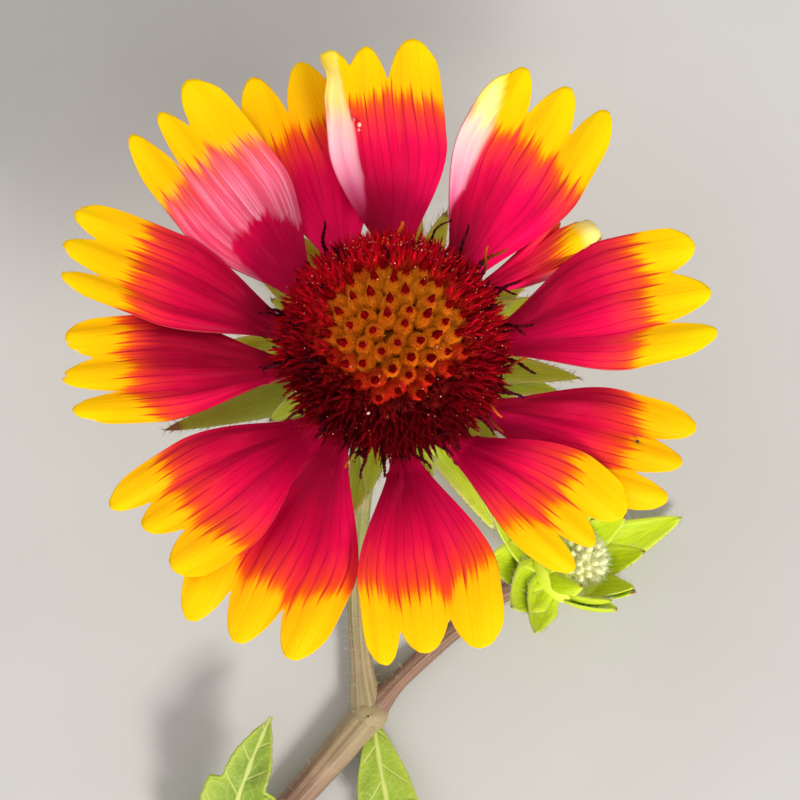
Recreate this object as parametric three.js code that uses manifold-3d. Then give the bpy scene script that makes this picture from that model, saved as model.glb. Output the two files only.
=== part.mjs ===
// A cut flowering stem of blanket flower (Gaillardia), lying on a surface, in millimetres, +Z up.
//
// The leafy main stem lies along the surface and forks. One branch arches up to the open bloom, which
// faces up; the other carries a green bud that rests on the surface. The origin is the flat spot under
// the fork, where the stem lies on the surface z = 0.
import * as THREE from "three";
import { mergeVertices } from "three/addons/utils/BufferGeometryUtils.js";
import Module from "manifold-3d";

const wasm = await Module();
wasm.setup();

// ---- Driving dimensions ----------------------------------------------------------------------------

const SEAT_GAP = 0.3; // between two pieces that touch
const BLADE = 0.7; // thickness of a ray's blade
const LEAF = 0.8; // thickness of a leaf
const SEED = 7; // of the small unevenness of the repeats

const BLOOM_CENTRE = [2.7, 42.3, 40]; // middle of the head's rim
const BLOOM_TILT = 17; // degrees that the bloom's axis leans from +Z towards +Y
const BLOOM_LEAN = 4; // and towards +X
const DISC_RADIUS = 10.2; // of the dome that the disc florets stand on
const DISC_HEIGHT = 6.4;
const DISC_FLORETS = 140;
const FLORET_LENGTH = 3.7;
const OPEN_FROM = 0.56; // share of the dome inside which the florets are still blunt buds
const CUP_RADIUS = 8.8; // of the green cup under the rim
const CUP_DEPTH = 6.2;

const BUD_CENTRE = [24.6, 18.6, 7.2]; // middle of the bud's rim
const BUD_AXIS = [0.62, 0.26, 0.74]; // the way the bud opens
const BUD_RADIUS = 4.9;
const BUD_DEPTH = 6.4; // from its rim to its foot
const BUD_DISC = { radius: 2.4, height: 2.2, florets: 15 };

const STEM_RADIUS = 1.7;
const PEDUNCLE_RADIUS = 1.25;
const PEDUNCLE_HEAD = { radius: 1.9, length: 7 }; // it swells under the head
const BUD_STALK_RADIUS = 1.1;
const FORK_RADIUS = 2.3; // of the swelling where the stem forks
const FLATTENED = 0.3; // how much of the fork's swelling is flattened where it rests

// ---- Small tools -----------------------------------------------------------------------------------

const radians = THREE.MathUtils.degToRad;
const smooth = THREE.MathUtils.smoothstep;
const vector = (p) => new THREE.Vector3(...p);
const turnTo = (axis) => new THREE.Quaternion().setFromUnitVectors(new THREE.Vector3(0, 0, 1), axis);

// Numbers from 0 to 1 that are the same in every run.
let seed = SEED;
function draw() {
  seed = (seed * 16807) % 2147483647;
  return seed / 2147483647;
}
const uneven = (amount) => (draw() * 2 - 1) * amount;

// A closed three.js geometry as a solid that can be joined and cut.
function solidOf(geometry) {
  const bare = new THREE.BufferGeometry().setAttribute("position", geometry.getAttribute("position"));
  bare.setIndex(geometry.getIndex());
  const merged = mergeVertices(bare, 1e-4);
  return new wasm.Manifold(
    new wasm.Mesh({
      numProp: 3,
      vertProperties: merged.attributes.position.array,
      triVerts: new Uint32Array(merged.index.array),
    }),
  );
}

function geometryOf(solid) {
  const mesh = solid.getMesh();
  const points = new THREE.BufferAttribute(mesh.vertProperties, mesh.numProp);
  const geometry = new THREE.BufferGeometry().setAttribute("position", points);
  geometry.setIndex(new THREE.BufferAttribute(mesh.triVerts, 1));
  return geometry.toNonIndexed();
}

// Joins closed geometries that run into each other, and fills any hollow that they shut in.
function fuse(geometries) {
  return largestBody(wasm.Manifold.union(geometries.map(solidOf)));
}

function largestBody(solid) {
  return solid.decompose().reduce((largest, body) => (body.volume() > largest.volume() ? body : largest));
}

function node(name, solid, color, roughness) {
  const geometry = geometryOf(solid);
  geometry.computeVertexNormals();
  const mesh = new THREE.Mesh(geometry, new THREE.MeshStandardMaterial({ color, roughness, metalness: 0 }));
  mesh.name = name;
  return mesh;
}

// A closed thin sheet. place(i, j) is the point of its middle surface at row i and column j. Both faces
// are split along the same diagonals, so that they never cross.
function sheet(rows, columns, place, thickness) {
  const middle = [];
  for (let i = 0; i <= rows; i++) {
    for (let j = 0; j <= columns; j++) middle.push(place(i, j));
  }
  const at = (i, j) =>
    THREE.MathUtils.clamp(i, 0, rows) * (columns + 1) + THREE.MathUtils.clamp(j, 0, columns);
  const positions = [];
  for (const side of [0.5, -0.5]) {
    for (let i = 0; i <= rows; i++) {
      for (let j = 0; j <= columns; j++) {
        const along = middle[at(i + 1, j)].clone().sub(middle[at(i - 1, j)]);
        const across = middle[at(i, j + 1)].clone().sub(middle[at(i, j - 1)]);
        const out = along.cross(across).normalize().multiplyScalar(side * thickness);
        positions.push(...middle[at(i, j)].clone().add(out).toArray());
      }
    }
  }
  const back = middle.length;
  const faces = [];
  const quad = (a, b, c, d) => faces.push(a, b, c, a, c, d);
  for (let i = 0; i < rows; i++) {
    for (let j = 0; j < columns; j++) {
      const [a, b, c, d] = [at(i, j), at(i + 1, j), at(i + 1, j + 1), at(i, j + 1)];
      quad(a, b, c, d);
      faces.push(back + a, back + c, back + b, back + a, back + d, back + c);
    }
  }
  for (let i = 0; i < rows; i++) {
    quad(at(i, 0), back + at(i, 0), back + at(i + 1, 0), at(i + 1, 0));
    quad(at(i + 1, columns), back + at(i + 1, columns), back + at(i, columns), at(i, columns));
  }
  for (let j = 0; j < columns; j++) {
    quad(at(0, j + 1), back + at(0, j + 1), back + at(0, j), at(0, j));
    quad(at(rows, j), back + at(rows, j), back + at(rows, j + 1), at(rows, j + 1));
  }
  const geometry = new THREE.BufferGeometry();
  geometry.setAttribute("position", new THREE.Float32BufferAttribute(positions, 3));
  geometry.setIndex(faces);
  return geometry;
}

// A closed lathe round +Z through [radius, height] pairs that run from the bottom up.
function turned(profile, segments) {
  const geometry = new THREE.LatheGeometry(profile.map(([r, z]) => new THREE.Vector2(r, z)), segments);
  return geometry.rotateX(Math.PI / 2);
}

// A closed round stalk along a curve, with eight sides and flat ends.
function stalk(curve, steps, radius) {
  const section = new THREE.Shape().absarc(0, 0, radius, 0, 2 * Math.PI);
  return new THREE.ExtrudeGeometry(section, { steps, extrudePath: curve, curveSegments: 4 });
}

// A pointed bract of diamond section. It leaves a head's axis at an angle, radius out and height up, and
// bends by turn degrees on its way to the tip. rise is its slope at the root, in degrees.
function bract({ angle, radius, height, length, width, rise, turn }) {
  const stations = 5;
  const positions = [];
  let [out, up] = [radius, height];
  for (let i = 0; i <= stations; i++) {
    const share = i / stations;
    const slope = radians(rise + turn * share);
    const half = (width / 2) * (share < 0.3 ? 0.82 + 0.6 * share : 1.32 * (1 - share) ** 0.75 + 0.04);
    const thick = 0.5 * (1 - 0.6 * share) + 0.12;
    const [nx, nz] = [-Math.sin(slope) * thick, Math.cos(slope) * thick];
    positions.push(out, half, up, out + nx, 0, up + nz, out, -half, up, out - nx, 0, up - nz);
    out += (Math.cos(slope) * length) / stations;
    up += (Math.sin(slope) * length) / stations;
  }
  const faces = [];
  for (let i = 0; i < stations; i++) {
    for (let j = 0; j < 4; j++) {
      const [a, b] = [4 * i + j, 4 * i + ((j + 1) % 4)];
      faces.push(a, b, b + 4, a, b + 4, a + 4);
    }
  }
  const last = 4 * stations;
  faces.push(0, 2, 1, 0, 3, 2, last, last + 1, last + 2, last, last + 2, last + 3);
  const geometry = new THREE.BufferGeometry();
  geometry.setAttribute("position", new THREE.Float32BufferAttribute(positions, 3));
  geometry.setIndex(faces);
  return geometry.rotateZ(radians(angle));
}

// Places of the florets of a head, in the spiral that they grow in, from its middle to its rim. Each is
// a share of the way down the dome, from 0 to 1, and an angle.
function spiral(count) {
  const golden = Math.PI * (3 - Math.sqrt(5));
  const place = (_, i) => ({ share: Math.sqrt((i + 0.5) / count), angle: i * golden });
  return Array.from({ length: count }, place);
}

// A floret standing on a dome: a short tapered cylinder whose foot is sunk into it. share is how far down
// the dome it stands, from 0 at the top to 1 at the dome's reach, in degrees.
function floret(dome, share, angle, { length, foot, head, sides }) {
  const polar = share * radians(dome.reach);
  const spoke = new THREE.Vector3(Math.cos(angle), Math.sin(angle), 0).multiplyScalar(Math.sin(polar));
  const seat = spoke.clone().multiplyScalar(dome.radius).setZ(dome.base + dome.height * Math.cos(polar));
  const outwards = spoke.clone().setZ(Math.cos(polar) + 0.08).normalize();
  const sunk = 1.1 * foot;
  const geometry = new THREE.CylinderGeometry(head, foot, length + sunk, sides);
  geometry.rotateX(Math.PI / 2).translate(0, 0, (length - sunk) / 2);
  return geometry.applyQuaternion(turnTo(outwards)).translate(...seat.toArray());
}

// ---- The bloom's ray florets -----------------------------------------------------------------------

// One row for each ray, going round from the top. at: the angle where its blade leaves the disc, and
// toward: the way it points, in degrees. lobes: how far its left, middle and right tooth reach from the
// disc's edge, seen looking outwards, and clefts: [reach, place across] of the two cuts between them.
// half: its greatest width left and right of its middle line. layer: which lies over its neighbours.
// lift: the height of its tip, arch: how high it bows on the way, folds: how far its sides turn up.
const RAYS = [
  { at: 88, toward: 97, lobes: [21.1, 21.4, 21.6], clefts: [[19.6, 2.9], [17.6, -1.2]], half: [6.4, 6.9],
    layer: 0.9, lift: 3.2, arch: 0.4, folds: [3.6, 1.4] },
  { at: 52, toward: 61, lobes: [22.6, 23.0, 22.6], clefts: [[18.2, 2.3], [18.2, -3.0]], half: [7.7, 7.5],
    layer: 0.7, lift: 2.8, arch: 0.6, folds: [3.4, 0.8] },
  { at: 36, toward: 27, lobes: [10.4, 14.2, 10.6], clefts: [[9.2, 2.1], [9.0, -0.9]], half: [4.1, 2.8],
    layer: -0.9, lift: 2.4, arch: 0.2, folds: [1.0, 0.8] },
  { at: 9, toward: 14.2, lobes: [22.4, 22.8, 22.2], clefts: [[19.0, 3.0], [17.2, -2.5]], half: [8.2, 6.9],
    layer: 0.6, lift: 0.8, arch: 1.2, folds: [0.7, 0.5] },
  { at: 332, toward: 347.2, lobes: [21.6, 20.9, 20.2], clefts: [[17.4, 1.4], [16.0, -2.8]], half: [5.8, 6.9],
    layer: -0.8, lift: 0.0, arch: 0.9, folds: [0.5, -0.9] },
  { at: 307, toward: 324.5, lobes: [18.3, 17.6, 17.4], clefts: [[15.0, 1.7], [13.6, -1.9]], half: [7.4, 5.9],
    layer: 0.8, lift: -1.0, arch: 1.6, folds: [0.1, 0.2] },
  { at: 277, toward: 278, lobes: [20.4, 20.2, 21.0], clefts: [[16.8, 2.5], [17.6, -3.0]], half: [8.5, 7.0],
    layer: 0.2, lift: -1.0, arch: 1.5, folds: [0.3, 0.4] },
  { at: 240, toward: 245, lobes: [22.0, 22.8, 22.8], clefts: [[17.3, 2.9], [17.9, -3.1]], half: [8.8, 8.4],
    layer: -0.9, lift: -1.2, arch: 1.2, folds: [0.4, 0.2] },
  { at: 222, toward: 213.2, lobes: [20.0, 20.2, 21.3], clefts: [[16.5, 2.9], [17.4, -2.0]], half: [8.6, 5.7],
    layer: 0.8, lift: -0.8, arch: 1.5, folds: [0.2, 0.2] },
  { at: 188, toward: 184, lobes: [21.6, 22.6, 22.0], clefts: [[16.6, 1.8], [19.0, -2.2]], half: [5.6, 6.7],
    layer: -0.7, lift: 0.4, arch: 1.2, folds: [0.3, 0.3] },
  { at: 166, toward: 158.8, lobes: [23.2, 24.4, 24.6], clefts: [[19.0, 2.6], [21.2, -1.2]], half: [5.5, 5.2],
    layer: 0.6, lift: 1.0, arch: 1.4, folds: [0.3, 0.3] },
  { at: 141, toward: 129.2, lobes: [23.6, 23.8, 24.8], clefts: [[17.2, 2.3], [20.6, -1.5]], half: [6.8, 6.8],
    layer: 0.4, lift: 2.2, arch: 1.0, folds: [0.4, 1.2] },
  { at: 116, toward: 108.4, lobes: [21.6, 21.8, 20.8], clefts: [[16.6, 0.2], [17.2, -5.6]], half: [5.6, 8.4],
    layer: -1.0, lift: 2.0, arch: 0.8, folds: [0.8, 0.6] },
];
const BLADE_START = 13.6; // radius of the disc's edge, from which the rays' lengths are measured
const ROOT = -5.6; // how far inside the disc's edge a ray's claw starts
const CLAW = 0.13; // width of the claw as a share of the blade's
const RING = { inner: 6.8, outer: 9.7, low: -0.75, high: 0.45 }; // the rays' joined feet

// The middle surface of a ray, lying along +X from the disc's edge. along is a share of the way from its
// root to its toothed edge, and across runs from 1 at its left edge to -1 at its right.
function rayPoint(ray, along, across) {
  const [left, right] = ray.half;
  const cuts = [1, ray.clefts[0][1] / left, ray.clefts[1][1] / right, -1];
  const levels = [ray.clefts[0][0] + 0.8, ray.clefts[0][0], ray.clefts[1][0], ray.clefts[1][0] + 0.8];
  const lobe = across > cuts[1] ? 0 : across > cuts[2] ? 1 : 2;
  const middle = (cuts[lobe] + cuts[lobe + 1]) / 2;
  const reach = (cuts[lobe] - cuts[lobe + 1]) / 2;
  const aside = THREE.MathUtils.clamp((across - middle) / reach, -1, 1);
  const level = THREE.MathUtils.lerp(levels[lobe + 1], levels[lobe], (aside + 1) / 2);
  const edge = level + (ray.lobes[lobe] - level) * (1 - aside ** 2) ** 0.7;
  const out = THREE.MathUtils.lerp(ROOT, edge, along);
  const width = CLAW + (1 - CLAW) * smooth(out, -4.5, 12.5);
  const narrowing = 0.16 * smooth(out, level - 2, ray.lobes[lobe]);
  const side = (across - (across - middle) * narrowing) * (across > 0 ? left : right) * width;
  const share = Math.max(0, out / Math.max(...ray.lobes));
  const fold = ray.folds[across > 0 ? 0 : 1] * across ** 2 * smooth(share, 0.1, 0.7);
  const pleat = 0.22 * Math.cos(Math.PI * aside) * smooth(share, 0, 0.4);
  const bow = ray.lift * share ** 1.5 + ray.arch * 4 * share * (1 - share);
  return new THREE.Vector3(out, side, bow + ray.layer * smooth(share, 0, 0.35) + fold + pleat);
}

function rayBlade(ray) {
  const [rows, teeth] = [5, 4];
  const cuts = [1, ray.clefts[0][1] / ray.half[0], ray.clefts[1][1] / ray.half[1], -1];
  const across = (j) => {
    const lobe = Math.min(2, Math.floor(j / teeth));
    return THREE.MathUtils.lerp(cuts[lobe], cuts[lobe + 1], j / teeth - lobe);
  };
  const geometry = sheet(rows, 3 * teeth, (i, j) => rayPoint(ray, i / rows, across(j)), BLADE);
  const [at, toward] = [radians(ray.at), radians(ray.toward)];
  geometry.rotateZ(toward);
  return geometry.translate(BLADE_START * Math.cos(at), BLADE_START * Math.sin(at), 0);
}

function rayFlorets() {
  const { inner, outer, low, high } = RING;
  const ring = turned([[inner, low], [outer, low], [outer, high], [inner, high], [inner, low]], 26);
  return fuse([ring, ...RAYS.map(rayBlade)]);
}

// ---- The bloom's disc and its green cup ------------------------------------------------------------

const DISC_BASE = RING.high + SEAT_GAP;
const CUP_TOP = RING.low - SEAT_GAP;

function discFlorets() {
  const foot = DISC_BASE + 1.2; // height at which the lowest florets leave the dome
  const profile = [[0, DISC_BASE], [DISC_RADIUS - 1.2, DISC_BASE], [DISC_RADIUS - 0.3, DISC_BASE + 0.5]];
  for (let step = 0; step < 5; step++) {
    const turn = radians(17 * step);
    profile.push([DISC_RADIUS * Math.cos(turn), foot + DISC_HEIGHT * Math.sin(turn)]);
  }
  profile.push([0, foot + DISC_HEIGHT]);
  const dome = { radius: DISC_RADIUS, height: DISC_HEIGHT, base: foot, reach: 86 };
  const florets = spiral(DISC_FLORETS).map(({ share, angle }) => {
    if (share > OPEN_FROM) {
      const length = FLORET_LENGTH * (1 + uneven(0.14));
      return floret(dome, share, angle, { length, foot: 1.0, head: 0.16, sides: 4 });
    }
    const length = FLORET_LENGTH * (0.64 + 0.3 * share);
    return floret(dome, share, angle, { length, foot: 0.95, head: 0.46, sides: 5 });
  });
  return fuse([turned(profile, 20), ...florets]);
}

// The long outer bracts, each as [angle, how far its tip reaches from the bloom's axis].
const OUTER_BRACTS = [
  [199, 25.6], [171, 17.8], [144, 18.8], [125, 17.6], [104, 17], [80, 19.4], [70, 19.8], [33, 19.2],
  [28, 19.8], [0, 21.4], [353, 19.2], [322, 18], [303, 21.8], [286, 16.5], [259, 17.8], [233, 16],
  [216, 17],
];

function bloomBracts() {
  const profile = [[0, CUP_TOP - CUP_DEPTH], [1.9, CUP_TOP - CUP_DEPTH], [4.6, CUP_TOP - 4.4]];
  profile.push([7.4, CUP_TOP - 2.4], [CUP_RADIUS, CUP_TOP - 0.8], [CUP_RADIUS, CUP_TOP], [0, CUP_TOP]);
  const outer = OUTER_BRACTS.map(([angle, reach]) => {
    const [radius, height, width] = [5.6, CUP_TOP - 2.6, 4.4];
    const rise = -2 + uneven(1.5);
    return bract({ angle, radius, height, length: reach - radius, width, rise, turn: -5 });
  });
  const inner = Array.from({ length: 13 }, (_, i) => {
    const [radius, length] = [6.6, 8.2 + uneven(1)];
    const angle = 12 + (360 * i) / 13;
    return bract({ angle, radius, height: CUP_TOP - 1.4, length, width: 3.8, rise: -2, turn: -8 });
  });
  return fuse([turned(profile, 20), ...outer, ...inner]);
}

// ---- The green bud ---------------------------------------------------------------------------------

const BUD_RIM = -0.1; // height at which its florets sit on its cup

// The bud's outer bracts, each as [angle, length, slope at its root, width].
const BUD_BRACTS = [
  [19, 13.2, 24, 5.8], [50, 8, 46, 5.2], [98, 10.5, 38, 5.2], [130, 11.5, 16, 6], [160, 12, 8, 6.4],
  [186, 12.5, 5, 6.6], [208, 12.2, 10, 6.4], [226, 11.5, 12, 5.2], [284, 8.6, 50, 5.4], [320, 8.5, 54, 5.4],
];

function budBracts() {
  const rim = BUD_RIM - SEAT_GAP;
  const profile = [[0, -BUD_DEPTH], [1.3, -BUD_DEPTH], [3.4, -4.9], [BUD_RADIUS, -2.2]];
  profile.push([BUD_RADIUS, rim], [0, rim]);
  const outer = BUD_BRACTS.map(([angle, length, rise, width]) =>
    bract({ angle, radius: 3.7, height: -3.4, length, width, rise, turn: 34 }));
  const inner = Array.from({ length: 8 }, (_, i) => {
    const length = 6.4 + uneven(0.7);
    return bract({ angle: 2 + 45 * i, radius: 4.2, height: -1.4, length, width: 3.9, rise: 62, turn: 24 });
  });
  return fuse([turned(profile, 12), ...outer, ...inner]);
}

function budFlorets() {
  const { radius, height, florets } = BUD_DISC;
  const dome = { radius, height, base: BUD_RIM + 0.6, reach: 84 };
  const profile = [[0, BUD_RIM], [radius - 0.2, BUD_RIM], [radius, dome.base]];
  for (const turn of [radians(30), radians(60)]) {
    profile.push([radius * Math.cos(turn), dome.base + height * Math.sin(turn)]);
  }
  profile.push([0, dome.base + height]);
  const buds = spiral(florets).map(({ share, angle }) =>
    floret(dome, share, angle, { length: 0.9, foot: 0.62, head: 0.3, sides: 4 }));
  return fuse([turned(profile, 10), ...buds]);
}

// ---- The stem --------------------------------------------------------------------------------------

const bloomTurn = new THREE.Euler(-radians(BLOOM_TILT), radians(BLOOM_LEAN), 0);
const bloomAxis = new THREE.Vector3(0, 0, 1).applyEuler(bloomTurn);
const bloomFoot = vector(BLOOM_CENTRE).addScaledVector(bloomAxis, CUP_TOP - CUP_DEPTH - SEAT_GAP);
const budAxis = vector(BUD_AXIS).normalize();
const budFoot = vector(BUD_CENTRE).addScaledVector(budAxis, -BUD_DEPTH - SEAT_GAP);
const fork = new THREE.Vector3(0, 0, FORK_RADIUS - FLATTENED);

// From the cut end to the fork, lying on the surface.
const mainStem = new THREE.CatmullRomCurve3([
  new THREE.Vector3(-56, -134, STEM_RADIUS - 0.1),
  new THREE.Vector3(-49, -92, 2.3),
  new THREE.Vector3(-38, -56, 2.0),
  new THREE.Vector3(-20.5, -25, 2.1),
  fork,
]);
const peduncle = new THREE.CubicBezierCurve3(
  fork,
  new THREE.Vector3(-3.4, 22, 2),
  bloomFoot.clone().addScaledVector(bloomAxis, -21),
  bloomFoot,
);
const budStalk = new THREE.CubicBezierCurve3(
  fork,
  new THREE.Vector3(4.5, 6, 2.4),
  budFoot.clone().addScaledVector(budAxis, -7),
  budFoot,
);

// The swelling at the top of the peduncle, ending where the head sits.
function peduncleHead(allowance) {
  const { radius, length } = PEDUNCLE_HEAD;
  const geometry = new THREE.CylinderGeometry(radius + allowance, PEDUNCLE_RADIUS * 0.8, length, 10);
  geometry.rotateX(Math.PI / 2).translate(0, 0, -length / 2);
  return geometry.applyQuaternion(turnTo(bloomAxis)).translate(...bloomFoot.toArray());
}

// The whole shoot, grown by an allowance all round.
function shoot(allowance) {
  const swelling = new THREE.SphereGeometry(FORK_RADIUS + allowance, 12, 8).rotateX(Math.PI / 2);
  return fuse([
    stalk(mainStem, 20, STEM_RADIUS + allowance),
    stalk(peduncle, 16, PEDUNCLE_RADIUS + allowance),
    stalk(budStalk, 8, BUD_STALK_RADIUS + allowance),
    peduncleHead(allowance),
    swelling.translate(...fork.toArray()),
  ]);
}

function stem() {
  const surface = new THREE.BoxGeometry(300, 400, 20).translate(0, 0, -10);
  return shoot(0).subtract(solidOf(surface));
}

// ---- The leaves ------------------------------------------------------------------------------------

// from: [x, y, z] where the leaf's base meets the stem; by: the point that it bends towards; to: its tip.
// width: across its widest place, teeth: how many pairs its edge is cut into, trough: how far its sides
// stand above its midrib.
const LEAVES = {
  leaf_bent_back: {
    from: [0.8, -1.4, 2.0], by: [2.6, -16, 5], to: [9.5, -33, 1.6], width: 7, teeth: 2, trough: 0.8,
  },
  leaf_upper_left: {
    from: [-18.6, -22.4, 2.4], by: [-16, -9.5, 11], to: [-11.3, 0.2, 8.5], width: 9, teeth: 2, trough: 1.2,
  },
  leaf_upper_right: {
    from: [-37, -55, 2.2], by: [-18, -50, 11], to: [11, -39, 0.43], width: 12, teeth: 4, trough: 1.1,
  },
  leaf_lower_left: {
    from: [-46, -80, 2.6], by: [-66, -56, 12], to: [-83, -24, 0.43], width: 14, teeth: 4, trough: 1.3,
  },
  leaf_lower_right: {
    from: [-51, -107, 2.4], by: [-26, -92, 13], to: [-3, -62, 0.43], width: 15, teeth: 5, trough: 1.4,
  },
};

// Half the width of a leaf, as a share of its widest, at a share of the way along it.
function leafEdge(share, teeth) {
  const outline = 0.2 * (1 - share) + Math.sin(Math.PI * share ** 0.85) ** 1.1;
  const tooth = (share * (teeth + 1.2)) % 1;
  const cut = smooth(share, 0.2, 0.35) * (1 - smooth(share, 0.85, 0.97));
  return Math.max(0.06, outline * (1 - 0.34 * cut * (1 - tooth)));
}

function leaf({ from, by, to, width, teeth, trough }) {
  const midrib = new THREE.QuadraticBezierCurve3(vector(from), vector(by), vector(to));
  const rows = 3 * teeth + 5;
  const blade = sheet(rows, 4, (i, j) => {
    const share = i / rows;
    const centre = midrib.getPoint(share);
    const along = midrib.getTangent(share);
    const across = new THREE.Vector3(-along.y, along.x, 0).normalize();
    const up = along.clone().cross(across).normalize();
    const side = 1 - j / 2;
    const half = (width / 2) * leafEdge(share, teeth);
    const wave = 0.25 * Math.sin(share * 14 + side * 2) * (1 - Math.abs(1 - 2 * share));
    centre.addScaledVector(across, side * half);
    const rise = trough * Math.abs(side) ** 1.5 * Math.sin(Math.PI * share);
    return centre.addScaledVector(up, rise + wave * side ** 2);
  }, LEAF);
  return largestBody(solidOf(blade).subtract(shoot(SEAT_GAP)));
}

// ---- The plant -------------------------------------------------------------------------------------

const GREEN = 0x6f8f3a;

const bloom = new THREE.Group();
bloom.position.set(...BLOOM_CENTRE);
bloom.rotation.copy(bloomTurn);
bloom.add(node("ray_florets", rayFlorets(), 0xc2142e, 0.55));
bloom.add(node("disc_florets", discFlorets(), 0x6b1012, 0.7));
bloom.add(node("bloom_bracts", bloomBracts(), 0x8a9a4a, 0.7));

const bud = new THREE.Group();
bud.position.set(...BUD_CENTRE);
bud.quaternion.copy(turnTo(budAxis));
bud.add(node("bud_bracts", budBracts(), 0x86b01e, 0.65));
bud.add(node("bud_florets", budFlorets(), 0xb9c24a, 0.75));

const plant = new THREE.Group();
plant.add(bloom, bud, node("stem", stem(), 0x7d7a48, 0.7));
for (const [name, shape] of Object.entries(LEAVES)) plant.add(node(name, leaf(shape), GREEN, 0.7));

export default plant;
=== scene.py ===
import math

import bpy
import numpy as np
from mathutils import Matrix, Vector


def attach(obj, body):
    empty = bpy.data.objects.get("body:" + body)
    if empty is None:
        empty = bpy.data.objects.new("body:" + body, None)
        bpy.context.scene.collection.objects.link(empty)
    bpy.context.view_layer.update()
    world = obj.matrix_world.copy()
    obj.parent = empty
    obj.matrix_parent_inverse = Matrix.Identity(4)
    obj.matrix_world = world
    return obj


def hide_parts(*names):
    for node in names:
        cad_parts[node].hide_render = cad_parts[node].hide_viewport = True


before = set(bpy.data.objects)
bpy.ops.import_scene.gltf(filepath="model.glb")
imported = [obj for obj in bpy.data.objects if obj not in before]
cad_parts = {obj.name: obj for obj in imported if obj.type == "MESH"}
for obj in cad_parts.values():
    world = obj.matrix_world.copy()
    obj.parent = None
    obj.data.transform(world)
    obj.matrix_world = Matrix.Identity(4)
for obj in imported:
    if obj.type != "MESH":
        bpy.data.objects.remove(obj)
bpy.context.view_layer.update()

# ---- The table, the light and the camera ---------------------------------------------------------
# The cut stem lies on a pale table, in soft studio light that comes from the lower right, and the camera
# looks straight down on its bloom. Sizes in this file are in millimetres, and MM turns them into metres.

MM = 0.001
scene = bpy.context.scene
scene.view_settings.view_transform = "Standard"


def paint(red, green, blue):
    """A colour given in screen values from 0 to 255, as shaders want it."""
    parts = []
    for value in (red, green, blue):
        share = value / 255
        parts.append(share / 12.92 if share <= 0.04045 else ((share + 0.055) / 1.055) ** 2.4)
    return (*parts, 1.0)


class Wire:
    """One output of a shader node. Sums, products and powers of wires are Math nodes."""

    def __init__(self, tree, socket=None):
        self.tree = tree
        self.socket = socket

    def node(self, kind, settings=None, inputs=None, output=0):
        """Adds any node: first its settings, then the values or links of its sockets."""
        made = self.tree.nodes.new("ShaderNode" + kind)
        for key, value in (settings or {}).items():
            setattr(made, key, value)
        for key, value in (inputs or {}).items():
            if isinstance(value, Wire):
                self.tree.links.new(value.socket, made.inputs[key])
            else:
                made.inputs[key].default_value = value
        return Wire(self.tree, made.outputs[output] if made.outputs else None)

    def math(self, operation, first, second=0.0):
        return self.node("Math", {"operation": operation}, {0: first, 1: second})

    def __add__(self, other):
        return self.math("ADD", self, other)

    __radd__ = __add__

    def __sub__(self, other):
        return self.math("SUBTRACT", self, other)

    def __rsub__(self, other):
        return self.math("SUBTRACT", other, self)

    def __mul__(self, other):
        return self.math("MULTIPLY", self, other)

    def __truediv__(self, other):
        return self.math("DIVIDE", self, other)

    def __mod__(self, other):
        return self.math("FLOORED_MODULO", self, other)

    def __pow__(self, other):
        return self.math("POWER", self, other)

    def __abs__(self):
        return self.math("ABSOLUTE", self)

    def most(self, other):
        return self.math("MAXIMUM", self, other)

    def smooth(self, low, high):
        """0 where this is under low, 1 where it is over high, and a soft step between them."""
        ends = {"Value": self, "From Min": low, "From Max": high}
        return self.node("MapRange", {"interpolation_type": "SMOOTHSTEP"}, ends)

    def mix(self, low, high):
        """The colour low where this is 0, and high where it is 1."""
        low, high = [end if isinstance(end, Wire) else paint(*end) for end in (low, high)]
        return self.node("Mix", {"data_type": "RGBA"}, {0: self, 6: low, 7: high}, 2)

    def ramp(self, *stops):
        """The colour at this share of the way through the stops, each (where, red, green, blue)."""
        wire = self.node("ValToRGB", {}, {"Fac": self})
        elements = wire.socket.node.color_ramp.elements
        while len(elements) < len(stops):
            elements.new(1.0)
        for element, (where, *colour) in zip(elements, stops):
            element.position = where
            element.color = paint(*colour)
        return wire

    def vector(self, x, y, z):
        return self.node("CombineXYZ", {}, {"X": x, "Y": y, "Z": z})

    def noise(self, place, scale, detail=2.0, rough=0.5):
        inputs = {"Vector": place, "Scale": scale, "Detail": detail, "Roughness": rough}
        return self.node("TexNoise", {}, inputs)

    def marks(self, name):
        """The three numbers that each point of the mesh carries under this name."""
        carried = self.node("Attribute", {"attribute_name": name}, {}, "Vector")
        return [self.node("SeparateXYZ", {}, {0: carried}, axis) for axis in "XYZ"]

    def spot(self):
        """The place in space, in metres."""
        return self.node("TexCoord", {}, {}, "Object")

    def bump(self, height, distance, strength=1.0):
        inputs = {"Height": height, "Distance": distance * MM, "Strength": strength}
        return self.node("Bump", {}, inputs)

    def surface(self, colour, rough, relief=None, shine=0.5, soft=None):
        """Ends the material. Where it lets light in, soft is (how much, how far each colour goes, depth)."""
        inputs = {"Base Color": colour, "Roughness": rough, "Specular IOR Level": shine}
        if relief is not None:
            inputs["Normal"] = relief
        if soft is not None:
            weight, radii, depth = soft
            inputs.update({"Subsurface Weight": weight, "Subsurface Radius": radii,
                           "Subsurface Scale": depth * MM})
        shader = self.node("BsdfPrincipled", {}, inputs)
        self.node("OutputMaterial", {}, {"Surface": shader})


def start_material(name):
    """An empty material, and a wire in it that its nodes grow from."""
    material = bpy.data.materials.new(name)
    material.use_nodes = True
    material.node_tree.nodes.clear()
    return material, Wire(material.node_tree)


table_paper, new = start_material("table_paper")
fibres = new.noise(new.spot(), 60.0, 4.0)
paper_colour = fibres.mix((184, 183, 179), (190, 189, 186))
new.surface(paper_colour, 0.85)

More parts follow.
